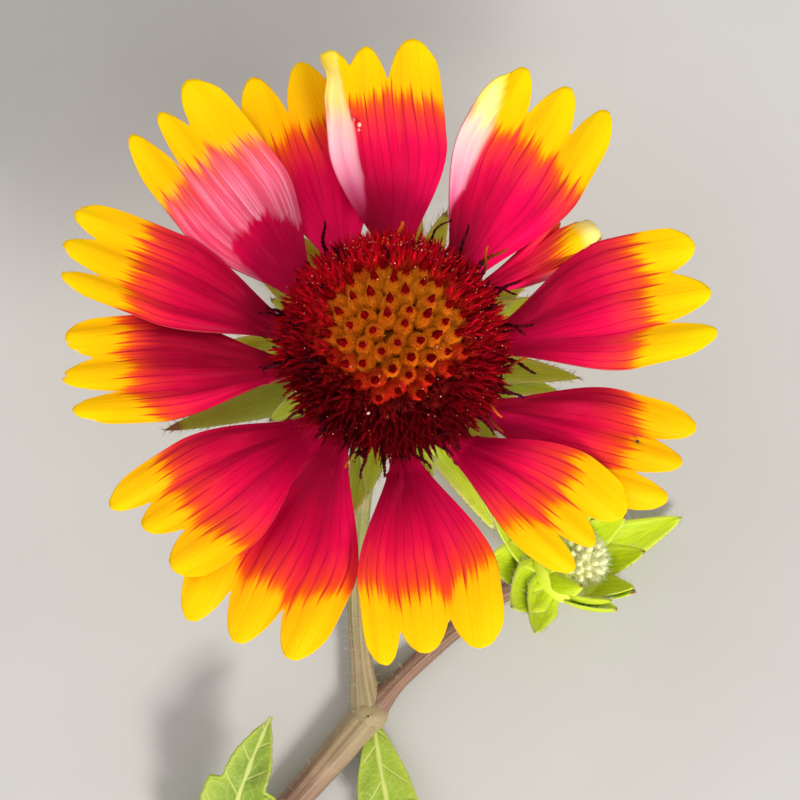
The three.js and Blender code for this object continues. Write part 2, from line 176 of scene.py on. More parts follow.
table_mesh = bpy.data.meshes.new("table")
reach = 2.0
table_mesh.from_pydata(
    [(-reach, -reach, 0), (reach, -reach, 0), (reach, reach, 0), (-reach, reach, 0)], [], [(0, 1, 2, 3)])
table_mesh.materials.append(table_paper)
table = bpy.data.objects.new("table", table_mesh)
scene.collection.objects.link(table)

scene.world = bpy.data.worlds.new("studio")
scene.world.use_nodes = True
scene.world.node_tree.nodes["Background"].inputs["Color"].default_value = (1.0, 0.98, 0.98, 1.0)
scene.world.node_tree.nodes["Background"].inputs["Strength"].default_value = 0.74


def lamp(name, place, aim, size, watts, colour):
    """A square soft light that faces the point it is aimed at."""
    light = bpy.data.lights.new(name, "AREA")
    light.size = size
    light.energy = watts
    light.color = colour
    made = bpy.data.objects.new(name, light)
    made.location = place
    made.rotation_euler = (Vector(aim) - Vector(place)).to_track_quat("-Z", "Y").to_euler()
    scene.collection.objects.link(made)


BLOOM_HEIGHT = 0.045
lamp("key", (0.37, -0.536, 0.621), (0, 0.04, BLOOM_HEIGHT), 0.22, 7.0, (1.0, 0.97, 0.93))
lamp("fill", (-0.7, 0.5, 0.9), (0, 0.04, BLOOM_HEIGHT), 0.9, 2.2, (1.0, 0.98, 0.98))

# The lens takes in 95 mm of the table, and 88 mm at the bloom's height.
camera = bpy.data.objects.new("camera", bpy.data.cameras.new("camera"))
camera.data.sensor_width = 36.0
camera.data.lens = 196.36
camera.location = (3.8 * MM, 37.4 * MM, 520 * MM)
scene.collection.objects.link(camera)
scene.camera = camera

# ---- The stem ------------------------------------------------------------------------------------
# The shoot that carries everything: a ribbed, hairy main stem lying along the table, a swollen fork, a
# peduncle that arches up to the bloom, and a short stalk to the bud. It grows in one piece.

BLOOM_CENTRE = np.array([2.7, 42.3, 40.0])
BUD_CENTRE = np.array([24.6, 18.6, 7.2])
FORK = np.array([0.0, 0.0, 2.0])
# How far below each head's middle its stalk ends.
BLOOM_DEPTH, BUD_DEPTH = 7.55, 6.7


def turned(degrees, axis):
    """A turn about an axis, as a matrix."""
    return np.array(Matrix.Rotation(math.radians(degrees), 3, axis))


def upright_to(way):
    """The shortest turn that takes straight up to this way."""
    return np.array(Vector((0, 0, 1)).rotation_difference(Vector(way)).to_matrix())


# The bloom leans away from the stem's foot, and the bud out to the side.
bloom_turn = turned(-17, "X") @ turned(4, "Y")
bloom_axis = bloom_turn @ np.array([0, 0, 1.0])
bloom_foot = BLOOM_CENTRE - BLOOM_DEPTH * bloom_axis
bud_axis = np.array(Vector((0.62, 0.26, 0.74)).normalized())
bud_turn = upright_to(bud_axis)
bud_foot = BUD_CENTRE - BUD_DEPTH * bud_axis


def smooth(value, low, high):
    share = np.clip((value - low) / (high - low), 0, 1)
    return share * share * (3 - 2 * share)


def unit(ways):
    return ways / np.maximum(np.linalg.norm(ways, axis=-1, keepdims=True), 1e-9)


def outward(grid):
    """The way each point of a grid of points faces."""
    return unit(np.cross(np.gradient(grid, axis=1), np.gradient(grid, axis=0)))


def stacked(*values):
    """Three numbers for each point, from arrays that are stretched to one shape."""
    return np.stack(np.broadcast_arrays(*values), axis=-1).astype(float)


def spokes(angles, turn):
    """Unit arrows at these angles round the axis of a turned frame."""
    return np.column_stack([np.cos(angles), np.sin(angles), np.zeros(len(angles))]) @ turn.T


def round_axis(reach, degrees, height):
    """A point so far from the axis, at this angle and height."""
    angle = math.radians(degrees)
    return np.array([reach * math.cos(angle), reach * math.sin(angle), height])


def bezier(corners, count):
    """Points along the Bezier curve of these corner points."""
    share = np.linspace(0, 1, count)[:, None]
    points = [np.tile(np.asarray(corner, float), (count, 1)) for corner in corners]
    while len(points) > 1:
        points = [a * (1 - share) + b * share for a, b in zip(points, points[1:])]
    return points[0]


def curve_through(knots, count):
    """Points along a smooth curve through the knots, as a bent stem runs."""
    knots = [np.asarray(knot, float) for knot in knots]
    knots = [2 * knots[0] - knots[1], *knots, 2 * knots[-1] - knots[-2]]
    points = []
    for a, b, c, d in zip(knots, knots[1:], knots[2:], knots[3:]):
        gaps = [max(np.linalg.norm(q - p), 1e-6) ** 0.5 for p, q in ((a, b), (b, c), (c, d))]
        start = ((b - a) / gaps[0] - (c - a) / (gaps[0] + gaps[1])) * gaps[1] + (c - b)
        end = ((d - c) / gaps[2] - (d - b) / (gaps[1] + gaps[2])) * gaps[1] + (c - b)
        for t in np.linspace(0, 1, count, endpoint=False):
            points.append(b + start * t + (3 * (c - b) - 2 * start - end) * t * t
                          + (2 * (b - c) + start + end) * t ** 3)
    points.append(knots[-2])
    return np.array(points)


def bands(rings, sides):
    """The quads between rings of points that lie one above the other."""
    return [(low + j, low + (j + 1) % sides, low + sides + (j + 1) % sides, low + sides + j)
            for low in range(0, (rings - 1) * sides, sides) for j in range(sides)]


def tube(path, radii, sides):
    """A round tube along a path, with its points' places on it: (how far along, share of a turn, radius)."""
    steps = unit(np.gradient(path, axis=0))
    side = unit(np.cross(steps[0], np.array([0.0, 0.0, 1.0]) + 0.01 * steps[0][::-1]))
    run = np.concatenate([[0], np.cumsum(np.linalg.norm(np.diff(path, axis=0), axis=1))])
    turns = np.linspace(0, 2 * np.pi, sides, endpoint=False)
    points = []
    marks = []
    for i, step in enumerate(steps):
        side = unit(side - step * np.dot(side, step))
        other = np.cross(step, side)
        radius = np.broadcast_to(np.asarray(radii[i], float), sides)
        ring = np.cos(turns)[:, None] * side + np.sin(turns)[:, None] * other
        points.append(path[i] + ring * radius[:, None])
        marks.append(np.column_stack([np.full(sides, run[i]), turns / (2 * np.pi), radius]))
    ends = [tuple(range(sides))[::-1], tuple(range((len(path) - 1) * sides, len(path) * sides))]
    return np.vstack(points), bands(len(path), sides) + ends, np.vstack(marks)


def together(parts):
    """Several (points, faces, marks) as one."""
    points = []
    faces = []
    marks = []
    first = 0
    for part_points, part_faces, part_marks in parts:
        points.append(part_points)
        marks.append(part_marks)
        faces.extend(tuple(int(corner) + first for corner in face) for face in part_faces)
        first += len(part_points)
    return np.vstack(points), faces, np.vstack(marks)


def piece(name, shape, material, stands_for=None, extra=None):
    """A mesh object of (points in millimetres, faces, marks) that rides on the plant, and hides the part it
    stands for, if any.
    """
    points, faces, marks = shape
    mesh = bpy.data.meshes.new(name)
    mesh.from_pydata((np.asarray(points) * MM).tolist(), [], faces)
    for key, values in {"place": marks, **(extra or {})}.items():
        stored = mesh.attributes.new(key, "FLOAT_VECTOR", "POINT")
        stored.data.foreach_set("vector", np.ravel(values).astype(np.float32))
    mesh.shade_smooth()
    mesh.materials.append(material)
    made = bpy.data.objects.new(name, mesh)
    scene.collection.objects.link(made)
    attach(made, "root")
    if stands_for:
        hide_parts(stands_for)


def hairs(roots, ways, lengths, thick, bend, draw):
    """Tapered three-sided hairs. Their marks are (share along the hair, a number of its own, thickness)."""
    count = len(roots)
    ways = unit(ways)
    side = unit(np.cross(ways, draw.normal(size=(count, 3))))
    other = np.cross(ways, side)
    lengths = np.broadcast_to(lengths, count)[:, None]
    thick = np.broadcast_to(thick, count)[:, None]
    middles = roots + ways * lengths * 0.55
    tips = roots + ways * lengths + side * lengths * bend * draw.uniform(0.3, 1.0, (count, 1))
    points = np.empty((count, 7, 3))
    for corner in range(3):
        turn = 2 * np.pi * corner / 3
        ring = side * math.cos(turn) + other * math.sin(turn)
        points[:, corner] = roots + ring * thick / 2
        points[:, 3 + corner] = middles + ring * thick * 0.36
    points[:, 6] = tips
    marks = np.empty((count, 7, 3))
    marks[:, :, 0] = [0, 0, 0, 0.55, 0.55, 0.55, 1]
    marks[:, :, 1] = draw.uniform(0, 1, (count, 1))
    marks[:, :, 2] = thick
    pattern = [(0, 1, 4, 3), (1, 2, 5, 4), (2, 0, 3, 5), (3, 4, 6), (4, 5, 6), (5, 3, 6)]
    faces = [tuple(first + corner for corner in face)
             for first in range(0, 7 * count, 7) for face in pattern]
    return points.reshape(-1, 3), faces, marks.reshape(-1, 3)


main_stem = curve_through(
    [(-56, -134, 1.6), (-49, -92, 2.3), (-38, -56, 2.0), (-20.5, -25, 2.1), tuple(FORK)], 26)
peduncle = bezier([FORK, (-3.4, 22, 2), bloom_foot - 21 * bloom_axis, bloom_foot], 70)
bud_stalk = bezier([FORK, (4.5, 6, 2.4), bud_foot - 7 * bud_axis, bud_foot], 44)

RIBS, SHAFT_SIDES = 9, 27


def ribbed(path, radius_at):
    """A stem's shaft: round, with low ribs running along it and slightly uneven."""
    turns = np.linspace(0, 2 * np.pi, SHAFT_SIDES, endpoint=False)
    radii = []
    for i in range(len(path)):
        share = i / (len(path) - 1)
        ribs = 1 + 0.045 * np.cos(RIBS * turns + 0.8 * share) + 0.02 * np.sin(23 * share + 2 * turns)
        radii.append(radius_at(share) * ribs)
    return tube(path, radii, SHAFT_SIDES)


shafts = [
    ribbed(main_stem, lambda s: 1.66 + 0.1 * math.sin(7 * s) + 0.35 * smooth(s, 0.9, 1.0)),
    ribbed(peduncle, lambda s: 1.22 + 0.75 * (1 - smooth(s, 0.0, 0.12)) + 0.66 * smooth(s, 0.88, 1.0)),
    ribbed(bud_stalk, lambda s: 1.06 + 0.7 * (1 - smooth(s, 0.0, 0.22)) + 0.2 * smooth(s, 0.85, 1.0)),
]
for number, (points, faces, marks) in enumerate(shafts):
    marks[:, 2] = number
RINGS, ROUND = 13, 22
swelling = []
for i in range(RINGS):
    for j in range(ROUND):
        polar = math.pi * (0.02 + 0.96 * i / (RINGS - 1))
        turn = 2 * math.pi * j / ROUND
        radius = 2.28 * (1 + 0.03 * math.cos(3 * turn))
        swelling.append(FORK + radius * np.array(
            [math.sin(polar) * math.cos(turn), math.sin(polar) * math.sin(turn), math.cos(polar)]))
faces = [(a, d, c, b) for a, b, c, d in bands(RINGS, ROUND)]
marks = np.tile([0.0, 0.0, 3.0], (len(swelling), 1))
stem_shape = together([*shafts, (np.array(swelling), faces, marks)])
stem_shape[0][:, 2] = np.maximum(stem_shape[0][:, 2], 0.02)

stem_skin, new = start_material("stem_skin")
run, turn, kind = new.marks("place")
point = new.spot()
streak = new.noise(new.vector(run * 0.02, turn * 9.0, kind * 3.0), 3.0, 4.0, 0.6)
blotch = new.noise(point, 260.0, 3.0)
woody = streak.smooth(0.35, 0.7).mix((122, 88, 74), (158, 122, 98))
green = streak.smooth(0.3, 0.7).mix((112, 118, 52), (150, 146, 84))
young = (kind - 1.0).smooth(-0.6, 0.0) * (1 - (kind - 1.0).smooth(0.0, 0.6))
reddish = young * run.smooth(6.0, 26.0)
# It is paler, tan with a hint of green, about the fork and up the foot of the peduncle.
about_fork = young + kind.smooth(2.4, 2.6) + (1 - kind.smooth(0.2, 0.8)) * run.smooth(132.0, 150.0)
tan = streak.smooth(0.3, 0.7).mix((146, 130, 92), (178, 166, 122))
skin = reddish.mix((about_fork * 0.75).mix(woody, tan), green)
skin = (blotch.smooth(0.52, 0.8) * 0.5).mix(skin, (176, 150, 118))
ribs = new.math("COSINE", turn * (2 * math.pi * RIBS))
relief = new.bump(ribs * 0.5 + streak + new.noise(point, 900.0) * 0.5, 0.12, 0.7)
new.surface(skin, 0.55 + streak * 0.2, relief, soft=(0.12, (0.6, 0.5, 0.3), 1.0))

piece("stem_shaft", stem_shape, stem_skin, "stem")

plant_down, new = start_material("plant_down")
down_colour = new.marks("place")[0].mix((186, 184, 130), (226, 224, 196))
new.surface(down_colour, 0.5, soft=(0.3, (1.0, 1.0, 0.8), 0.3))


def standing(roots, ways, height):
    """Those of the hairs that stand clear of the table."""
    clear = roots[:, 2] + ways[:, 2] * height > 0.1
    return roots[clear], ways[clear]


draw = np.random.default_rng(11)
roots = []
ways = []
for points, faces, marks in shafts:
    centre = points.reshape(-1, SHAFT_SIDES, 3).mean(axis=1)
    chosen = draw.integers(0, len(points), int(len(points) * 0.42))
    roots.append(points[chosen] + draw.normal(size=(len(chosen), 3)) * 0.12)
    out = unit(points[chosen] - centre[chosen // SHAFT_SIDES])
    ways.append(out + draw.normal(size=(len(chosen), 3)) * 0.25)
roots, ways = standing(np.vstack(roots), np.vstack(ways), 1.2)
stem_hairs = hairs(roots, ways, draw.uniform(0.4, 1.2, len(roots)), 0.04, 0.25, draw)
piece("stem_down", stem_hairs, plant_down)

# ---- The leaves ----------------------------------------------------------------------------------
# Five soft leaves leave the stem by turns. Each is a thin, coarsely toothed blade with a sunken midrib,
# side veins that run out to its teeth, and short down on its faces and edges.

# Where each starts, bends to and ends, its width, how many teeth it has a side, and how deep its trough is.
LEAVES = {
    "leaf_bent_back": ((0.8, -1.4, 2.0), (2.6, -16, 5), (9.5, -33, 1.6), 7, 2, 0.8),
    "leaf_upper_left": ((-18.6, -22.4, 2.4), (-16, -9.5, 11), (-11.3, 0.2, 8.5), 9, 2, 1.2),
    "leaf_upper_right": ((-37, -55, 2.2), (-18, -50, 11), (11, -39, 0.43), 12, 4, 1.1),
    "leaf_lower_left": ((-46, -80, 2.6), (-66, -56, 12), (-83, -24, 0.43), 14, 4, 1.3),
    "leaf_lower_right": ((-51, -107, 2.4), (-26, -92, 13), (-3, -62, 0.43), 15, 5, 1.4),
}
LEAF_ROWS, LEAF_COLUMNS = 110, 28

leaf_skin, new = start_material("leaf_skin")
along, side, half = new.marks("place")
point = new.spot()
edgeways = abs(side)
rank = ((along - edgeways * half * 1.1) / 4.6 + (side * 40.0).smooth(-1, 1) * 0.45) % 1.0
side_vein = 1 - abs(rank - 0.5).smooth(0.0, 0.07)
midrib = 1 - (edgeways * half).smooth(0.1, 0.42)
network = new.node("TexVoronoi", {"feature": "DISTANCE_TO_EDGE"}, {"Vector": point, "Scale": 1100.0})
mesh_vein = 1 - network.smooth(0.0, 0.12)
veins = midrib.most(side_vein * (1 - edgeways.smooth(0.75, 1.0)) * 0.8).most(mesh_vein * 0.25)
tone = new.noise(point, 90.0, 3.0)
green = tone.smooth(0.3, 0.7).mix((98, 130, 30), (150, 176, 38))
green = (edgeways ** 4 * 0.6).mix(green, (186, 196, 62))
green = veins.mix(green, (196, 206, 110))
relief = new.bump(new.noise(point, 500.0, 3.0) * 0.5 - veins, 0.14, 0.8)
new.surface(green, 0.5 + tone * 0.15, relief, soft=(0.25, (0.5, 0.8, 0.2), 0.8))


def sheet(middle, thick, marks, back=None):
    """A closed thin sheet about a grid of middle points. Its underside's marks are back, or the same."""
    rows, columns = middle.shape[0] - 1, middle.shape[1] - 1
    out = outward(middle)
    thick = np.broadcast_to(thick, middle.shape[:2])[:, :, None]
    half = out * thick / 2
    points = np.concatenate([(middle + half).reshape(-1, 3), (middle - half).reshape(-1, 3)])
    under = (rows + 1) * (columns + 1)
    corner = np.arange(under).reshape(rows + 1, columns + 1)
    a, b = corner[:-1, :-1].ravel(), corner[1:, :-1].ravel()
    c, d = corner[1:, 1:].ravel(), corner[:-1, 1:].ravel()
    faces = [np.column_stack([a, d, c, b]), np.column_stack([a, b, c, d]) + under]
    for line, flip in ((corner[:, 0], False), (corner[:, -1], True), (corner[0], True), (corner[-1], False)):
        near, far = line[:-1], line[1:]
        rim = np.column_stack([near, far, far + under, near + under])
        faces.append(rim[:, ::-1] if flip else rim)
    flat = marks.reshape(-1, 3)
    both = np.concatenate([flat, flat if back is None else back.reshape(-1, 3)])
    return points, np.concatenate(faces).tolist(), both


def leaf_outline(share, teeth):
    """Half the leaf's width along it, as a share of its widest place, with its teeth pointing forward."""
    outline = 0.2 * (1 - share) + np.sin(np.pi * share ** 0.85) ** 1.1
    tooth = (share * (teeth + 1.2)) % 1
    cut = smooth(share, 0.2, 0.35) * (1 - smooth(share, 0.85, 0.97))
    small = 0.035 * np.abs(np.sin(share * 60)) * cut
    return np.maximum(0.05, outline * (1 - 0.34 * cut * (1 - tooth) ** 1.3 - small))


draw = np.random.default_rng(23)
leaf_hair_roots = []
leaf_hair_ways = []
for name, (start, bend, end, width, teeth, trough) in LEAVES.items():
    centre = bezier([start, bend, end], LEAF_ROWS + 1)
    step = unit(np.gradient(centre, axis=0))
    across = unit(np.column_stack([-step[:, 1], step[:, 0], np.zeros(len(step))]))
    up = unit(np.cross(step, across))
    share = np.linspace(0, 1, LEAF_ROWS + 1)
    side = np.linspace(1, -1, LEAF_COLUMNS + 1)
    half = width / 2 * leaf_outline(share, teeth)
    length = np.linalg.norm(np.diff(centre, axis=0), axis=1).sum()
    run = share * length
    rise = trough * np.abs(side)[None] ** 1.5 * np.sin(np.pi * share)[:, None]
    wave = 0.25 * np.sin(share[:, None] * 14 + side[None] * 2) * (1 - np.abs(1 - 2 * share))[:, None]
    blister = 0.22 * np.sin(run[:, None] * 1.37 - np.abs(side)[None] * half[:, None] * 1.5)
    blister = blister * (np.abs(side) * (1 - np.abs(side)))[None] * 4 * np.sin(np.pi * share)[:, None]
    height = rise + wave * side[None] ** 2 + blister
    middle = centre[:, None] + across[:, None] * (side[None] * half[:, None])[:, :, None]
    middle = middle + up[:, None] * height[:, :, None]
    marks = stacked(run[:, None], side[None], half[:, None])
    thick = 0.34 + 0.5 * np.exp(-((side[None] * half[:, None]) / 0.45) ** 2) * (1 - 0.7 * share[:, None])
    leaf_shape = sheet(middle, thick, marks)
    leaf_shape[0][:, 2] = np.maximum(leaf_shape[0][:, 2], 0.03)
    piece(name + "_blade", leaf_shape, leaf_skin, name)
    grid_out = outward(middle)
    for _ in range(int(length * width * 1.2)):
        i, j = draw.integers(4, LEAF_ROWS), draw.integers(0, LEAF_COLUMNS + 1)
        over = 1 if draw.uniform() < 0.7 else -1
        leaf_hair_roots.append(middle[i, j])
        leaf_hair_ways.append(grid_out[i, j] * over + step[i] * 0.5 + draw.normal(size=3) * 0.3)
    for _ in range(int(length * 6)):
        i = draw.integers(3, LEAF_ROWS)
        j = draw.choice([0, LEAF_COLUMNS])
        leaf_hair_roots.append(middle[i, j])
        leaf_hair_ways.append(across[i] * (1 if j == 0 else -1) + step[i] * 0.8 + draw.normal(size=3) * 0.25)
roots, ways = standing(np.array(leaf_hair_roots), np.array(leaf_hair_ways), 0.6)
leaf_hairs = hairs(roots, ways, draw.uniform(0.3, 0.75, len(roots)), 0.045, 0.2, draw)
piece("leaf_down", leaf_hairs, plant_down)

# ---- The bud -------------------------------------------------------------------------------------
# A second head that hasn't opened: a green cup set with pointed, hairy bracts that stand round a centre
# of pale florets, still closed and wrapped in white down.


def bract_skin(name, dark, light, edge):
    """A bract's surface: green, with fine lengthwise veins, a paler edge and, on some, a brown tip."""
    material, new = start_material(name)
    share, side, own = new.marks("place")
    vein = new.math("COSINE", side * 16.0) * 0.5 + 0.5
    grain = new.noise(new.vector(share * 1.2, side * 3.0, own * 7.0), 4.0, 4.0, 0.6)
    green = grain.smooth(0.3, 0.7).mix(dark, light)
    green = (abs(side) ** 3 * 0.55).mix(green, edge)
    green = (vein * 0.10).mix(green, edge)
    # Painted shade: a bract with a high number of its own is darkened, as the bloom's longest one is.
    green = (own.smooth(0.5, 0.75) * 0.55).mix(green, (140, 160, 60))
    dried = (share + own * 0.12 + grain * 0.06).smooth(1.0, 1.06)
    green = dried.mix(green, (150, 108, 66))
    relief = new.bump(vein * 0.3 + grain * 0.6, 0.05, 0.5)
    new.surface(green, 0.5 + grain * 0.2, relief, 0.3, (0.25, (0.6, 0.8, 0.2), 0.8))
    return material


def bract(angle, radius, height, length, width, rise, turn, sway=0.0, own=0.0, rows=26, columns=8):
    """A pointed bract in its head's own frame, with the grid of its middle points."""
    share = np.linspace(0, 1, rows + 1)
    side = np.linspace(1, -1, columns + 1)
    slope = np.radians(rise + turn * share)
    level = np.cos(slope[1:]) + np.cos(slope[:-1])
    climb = np.sin(slope[1:]) + np.sin(slope[:-1])
    out = radius + np.concatenate([[0], np.cumsum(level)]) * length / rows / 2
    up = height + np.concatenate([[0], np.cumsum(climb)]) * length / rows / 2
    half = width / 2 * np.where(share < 0.3, 0.82 + 0.68 * share, 1.30 * (1 - share) ** 0.72 + 0.02)
    cup = 0.34 * half[:, None] * side[None] ** 2
    y = side[None] * half[:, None] + (sway * share ** 2)[:, None]
    x = out[:, None] - np.sin(slope)[:, None] * cup
    z = up[:, None] + np.cos(slope)[:, None] * cup
    middle = np.stack([x, y, z], axis=-1)
    thick = (0.9 * (1 - 0.65 * share) + 0.1)[:, None] * (1 - 0.82 * np.abs(side)[None] ** 1.4)
    marks = stacked(share[:, None], side[None], own)
    pointed = turned(angle, "Z")
    points, faces, both = sheet(middle, thick, marks)
    return (points @ pointed.T, faces, both), middle @ pointed.T


def fringe(grids, per_mm, draw):
    """Roots and ways of the long soft hairs along the edges of bracts, and of the short ones on them."""
    roots = []
    ways = []
    for grid in grids:
        rows, columns = grid.shape[0] - 1, grid.shape[1] - 1
        out = outward(grid)
        step = unit(np.gradient(grid, axis=0))
        beside = unit(np.gradient(grid, axis=1))
        length = np.linalg.norm(np.diff(grid[:, columns // 2], axis=0), axis=1).sum()
        for _ in range(int(length * per_mm)):
            i = draw.integers(1, rows + 1)
            j = draw.choice([0, columns])
            sideways = beside[i, j] * (-1 if j == 0 else 1)
            roots.append(grid[i, j] + step[i, j] * draw.uniform(-0.2, 0.2))
            ways.append(sideways + step[i, j] * draw.uniform(0.3, 1.4) + draw.normal(size=3) * 0.3)
        for _ in range(int(length * per_mm * 0.8)):
            i, j = draw.integers(1, rows + 1), draw.integers(0, columns + 1)
            over = 1 if draw.uniform() < 0.5 else -1
            roots.append(grid[i, j])
            ways.append(out[i, j] * over * 0.8 + step[i, j] * 0.9 + draw.normal(size=3) * 0.3)
    return np.array(roots), np.array(ways)


def lathe(profile, sides):
    """A turned solid about +Z, from (radius, height) pairs that run from the bottom up."""
    profile = np.array(profile, float)
    turns = np.linspace(0, 2 * np.pi, sides, endpoint=False)
    ring = np.column_stack([np.cos(turns), np.sin(turns)])
    points = np.concatenate([np.column_stack([ring * max(r, 0.001), np.full(sides, z)]) for r, z in profile])
    marks = np.concatenate([np.column_stack([np.full(sides, i / (len(profile) - 1)), turns, turns * 0])
                            for i in range(len(profile))])
    return points, bands(len(profile), sides), marks


def spiral(count):
    """Places of a head's florets: the share of the way down its dome, and an angle."""
    numbers = np.arange(count)
    return np.sqrt((numbers + 0.5) / count), numbers * math.pi * (3 - math.sqrt(5))


def on_head(share, angle, spread, radius, rise, foot):
    """The seat of a floret on a domed head, at a share of the way down it, and the way it grows there."""
    polar = share * math.radians(spread)
    spoke = np.array([math.cos(angle), math.sin(angle), 0.0]) * math.sin(polar)
    way = unit(spoke + np.array([0, 0, math.cos(polar) + 0.08]))
    return spoke * radius + np.array([0, 0, foot + rise * math.cos(polar)]), way


def placed(shape, turn, centre):
    points, faces, marks = shape
    return points @ turn.T + centre, faces, marks


def on_bud(shape):
    return placed(shape, bud_turn, BUD_CENTRE)


def on_bloom(shape):
    return placed(shape, bloom_turn, BLOOM_CENTRE)


# The outer bracts, each as (angle, length, slope at its root, width).
BUD_BRACTS = [
    (19, 13.2, 24, 5.8), (50, 8, 46, 5.2), (98, 10.5, 38, 5.2), (130, 11.5, 16, 6),
    (160, 12, 8, 6.4), (186, 12.5, 5, 6.6), (208, 12.2, 10, 6.4), (226, 11.5, 12, 5.2),
    (284, 8.6, 50, 5.4), (320, 8.5, 54, 5.4),
]
INNER_BUD_BRACTS, HAIRS_PER_MM = 8, 9
BUD_CUP = [(0, -6.4), (0.8, -6.4), (1.5, -6.1), (2.6, -5.6), (3.6, -4.7), (4.4, -3.3), (4.9, -2.0),
           (4.9, -0.6), (4.2, -0.3), (0, -0.3)]
draw = np.random.default_rng(31)
bracts = []
for angle, length, rise, width in BUD_BRACTS:
    bracts.append(bract(angle, 3.7, -3.4, length, width, rise, 34, draw.uniform(-0.6, 0.6),
                        draw.uniform(0, 0.5)))
for i in range(INNER_BUD_BRACTS):
    bracts.append(bract(2 + 360 * i / INNER_BUD_BRACTS, 4.2, -1.4, draw.uniform(5.7, 7.1), 3.9, 62, 24,
                        draw.uniform(-0.4, 0.4), draw.uniform(0, 0.5)))
made, grids = zip(*bracts)
bud_shape = together([lathe(BUD_CUP, 36), *made])
bud_green = bract_skin("bud_green", (170, 200, 8), (212, 228, 22), (226, 238, 84))
piece("bud_bracts_fine", on_bud(bud_shape), bud_green, "bud_bracts")

roots, ways = fringe(grids, HAIRS_PER_MM, draw)
lengths = draw.uniform(0.4, 1.0, len(roots))
down = hairs(roots, ways, lengths, 0.036, 0.3, draw)
piece("bud_down", on_bud(down), plant_down)

bud_centre, new = start_material("bud_centre")
share = new.marks("place")[0]
pale = share.smooth(0.1, 0.8).mix((206, 218, 90), (252, 250, 196))
mottled = new.noise(new.spot(), 1400.0, 2.0)
new.surface(pale, 0.55, new.bump(mottled, 0.08, 0.6), soft=(0.2, (0.8, 0.8, 0.3), 0.6))

wool_white, new = start_material("wool_white")
fleck = new.marks("place")[1]
new.surface(fleck.mix((232, 234, 176), (252, 252, 234)), 0.6, shine=0.2)

BUD_TIP = [(0.0, -0.6), (0.34, -0.5), (0.4, 0.0), (0.42, 0.4), (0.32, 0.75), (0.12, 0.98), (0.0, 1.02)]
tip_parts = [lathe([(0, -0.1), (2.2, -0.1), (2.4, 0.5), (2.08, 1.6), (1.2, 2.4), (0, 2.7)], 24)]
BUD_TIPS, HAIRS_PER_TIP = 38, 26
BUD_DOME = dict(spread=84, radius=2.4, rise=2.2, foot=0.5)
shares, angles = spiral(BUD_TIPS)
down_roots = []
down_ways = []
for share, angle in zip(shares, angles):
    seat, way = on_head(share, angle, **BUD_DOME)
    tip_parts.append(placed(lathe(BUD_TIP, 8), upright_to(way), seat))
    for _ in range(HAIRS_PER_TIP):
        off = draw.normal(size=3) * 0.32
        down_roots.append(seat + off - way * np.dot(off, way))
        down_ways.append(way + draw.normal(size=3) * 0.3)
piece("bud_florets_fine", on_bud(together(tip_parts)), bud_centre, "bud_florets")
lengths = draw.uniform(0.9, 1.9, len(down_roots))
wool = hairs(np.array(down_roots), np.array(down_ways), lengths, 0.06, 0.35, draw)
piece("bud_wool", on_bud(wool), wool_white)

# ---- The bloom's green cup -----------------------------------------------------------------------
# The bloom's head under its florets: a fleshy cup with two whorls of long pointed bracts that show
# between the rays, soft and thin, with ragged hairy edges.

# The outer bracts, each as (angle, how far out its tip reaches). The longest one is darkened by painted
# shade.
OUTER_BRACTS = [
    (199, 25.6), (171, 17.8), (144, 18.8), (122, 19.4), (104, 17), (80, 19.4),
    (70, 19.8), (33, 19.2), (28, 19.8), (0, 21.4), (353, 19.2), (322, 18),
    (303, 21.8), (286, 16.5), (259, 17.8), (233, 16), (216, 17),
]
draw = np.random.default_rng(43)
CUP = [(0, -7.25), (1.9, -7.25), (3.0, -6.9), (4.6, -5.6), (6.2, -4.4), (7.6, -3.2), (8.5, -2.1),
       (8.8, -1.4), (8.6, -1.05), (0, -1.05)]
INNER_BRACTS, ROOT = 13, 5.6
bracts = []
for angle, reach in OUTER_BRACTS:
    # The longest gets a high number of its own, which paints shade on it.
    own = 0.75 if reach > 25 else draw.uniform(0, 0.45)
    rise = -2 + draw.uniform(-1.5, 1.5)
    bracts.append(bract(angle, ROOT, -3.65, reach - ROOT, 4.4, rise, -5, draw.uniform(-0.9, 0.9), own))
for i in range(INNER_BRACTS):
    bracts.append(bract(12 + 360 * i / INNER_BRACTS, 6.6, -2.45, draw.uniform(7.2, 9.2), 3.8, -2, -8,
                        draw.uniform(-0.5, 0.5), draw.uniform(0, 0.4)))
made, grids = zip(*bracts)
cup_shape = together([lathe(CUP, 48), *made])
cup_green = bract_skin("cup_green", (180, 220, 22), (222, 246, 70), (242, 254, 150))
piece("bloom_bracts_fine", on_bloom(cup_shape), cup_green, "bloom_bracts")
roots, ways = fringe(grids, HAIRS_PER_MM, draw)
lengths = draw.uniform(0.4, 1.1, len(roots))
piece("cup_down", on_bloom(hairs(roots, ways, lengths, 0.05, 0.3, draw)), plant_down)
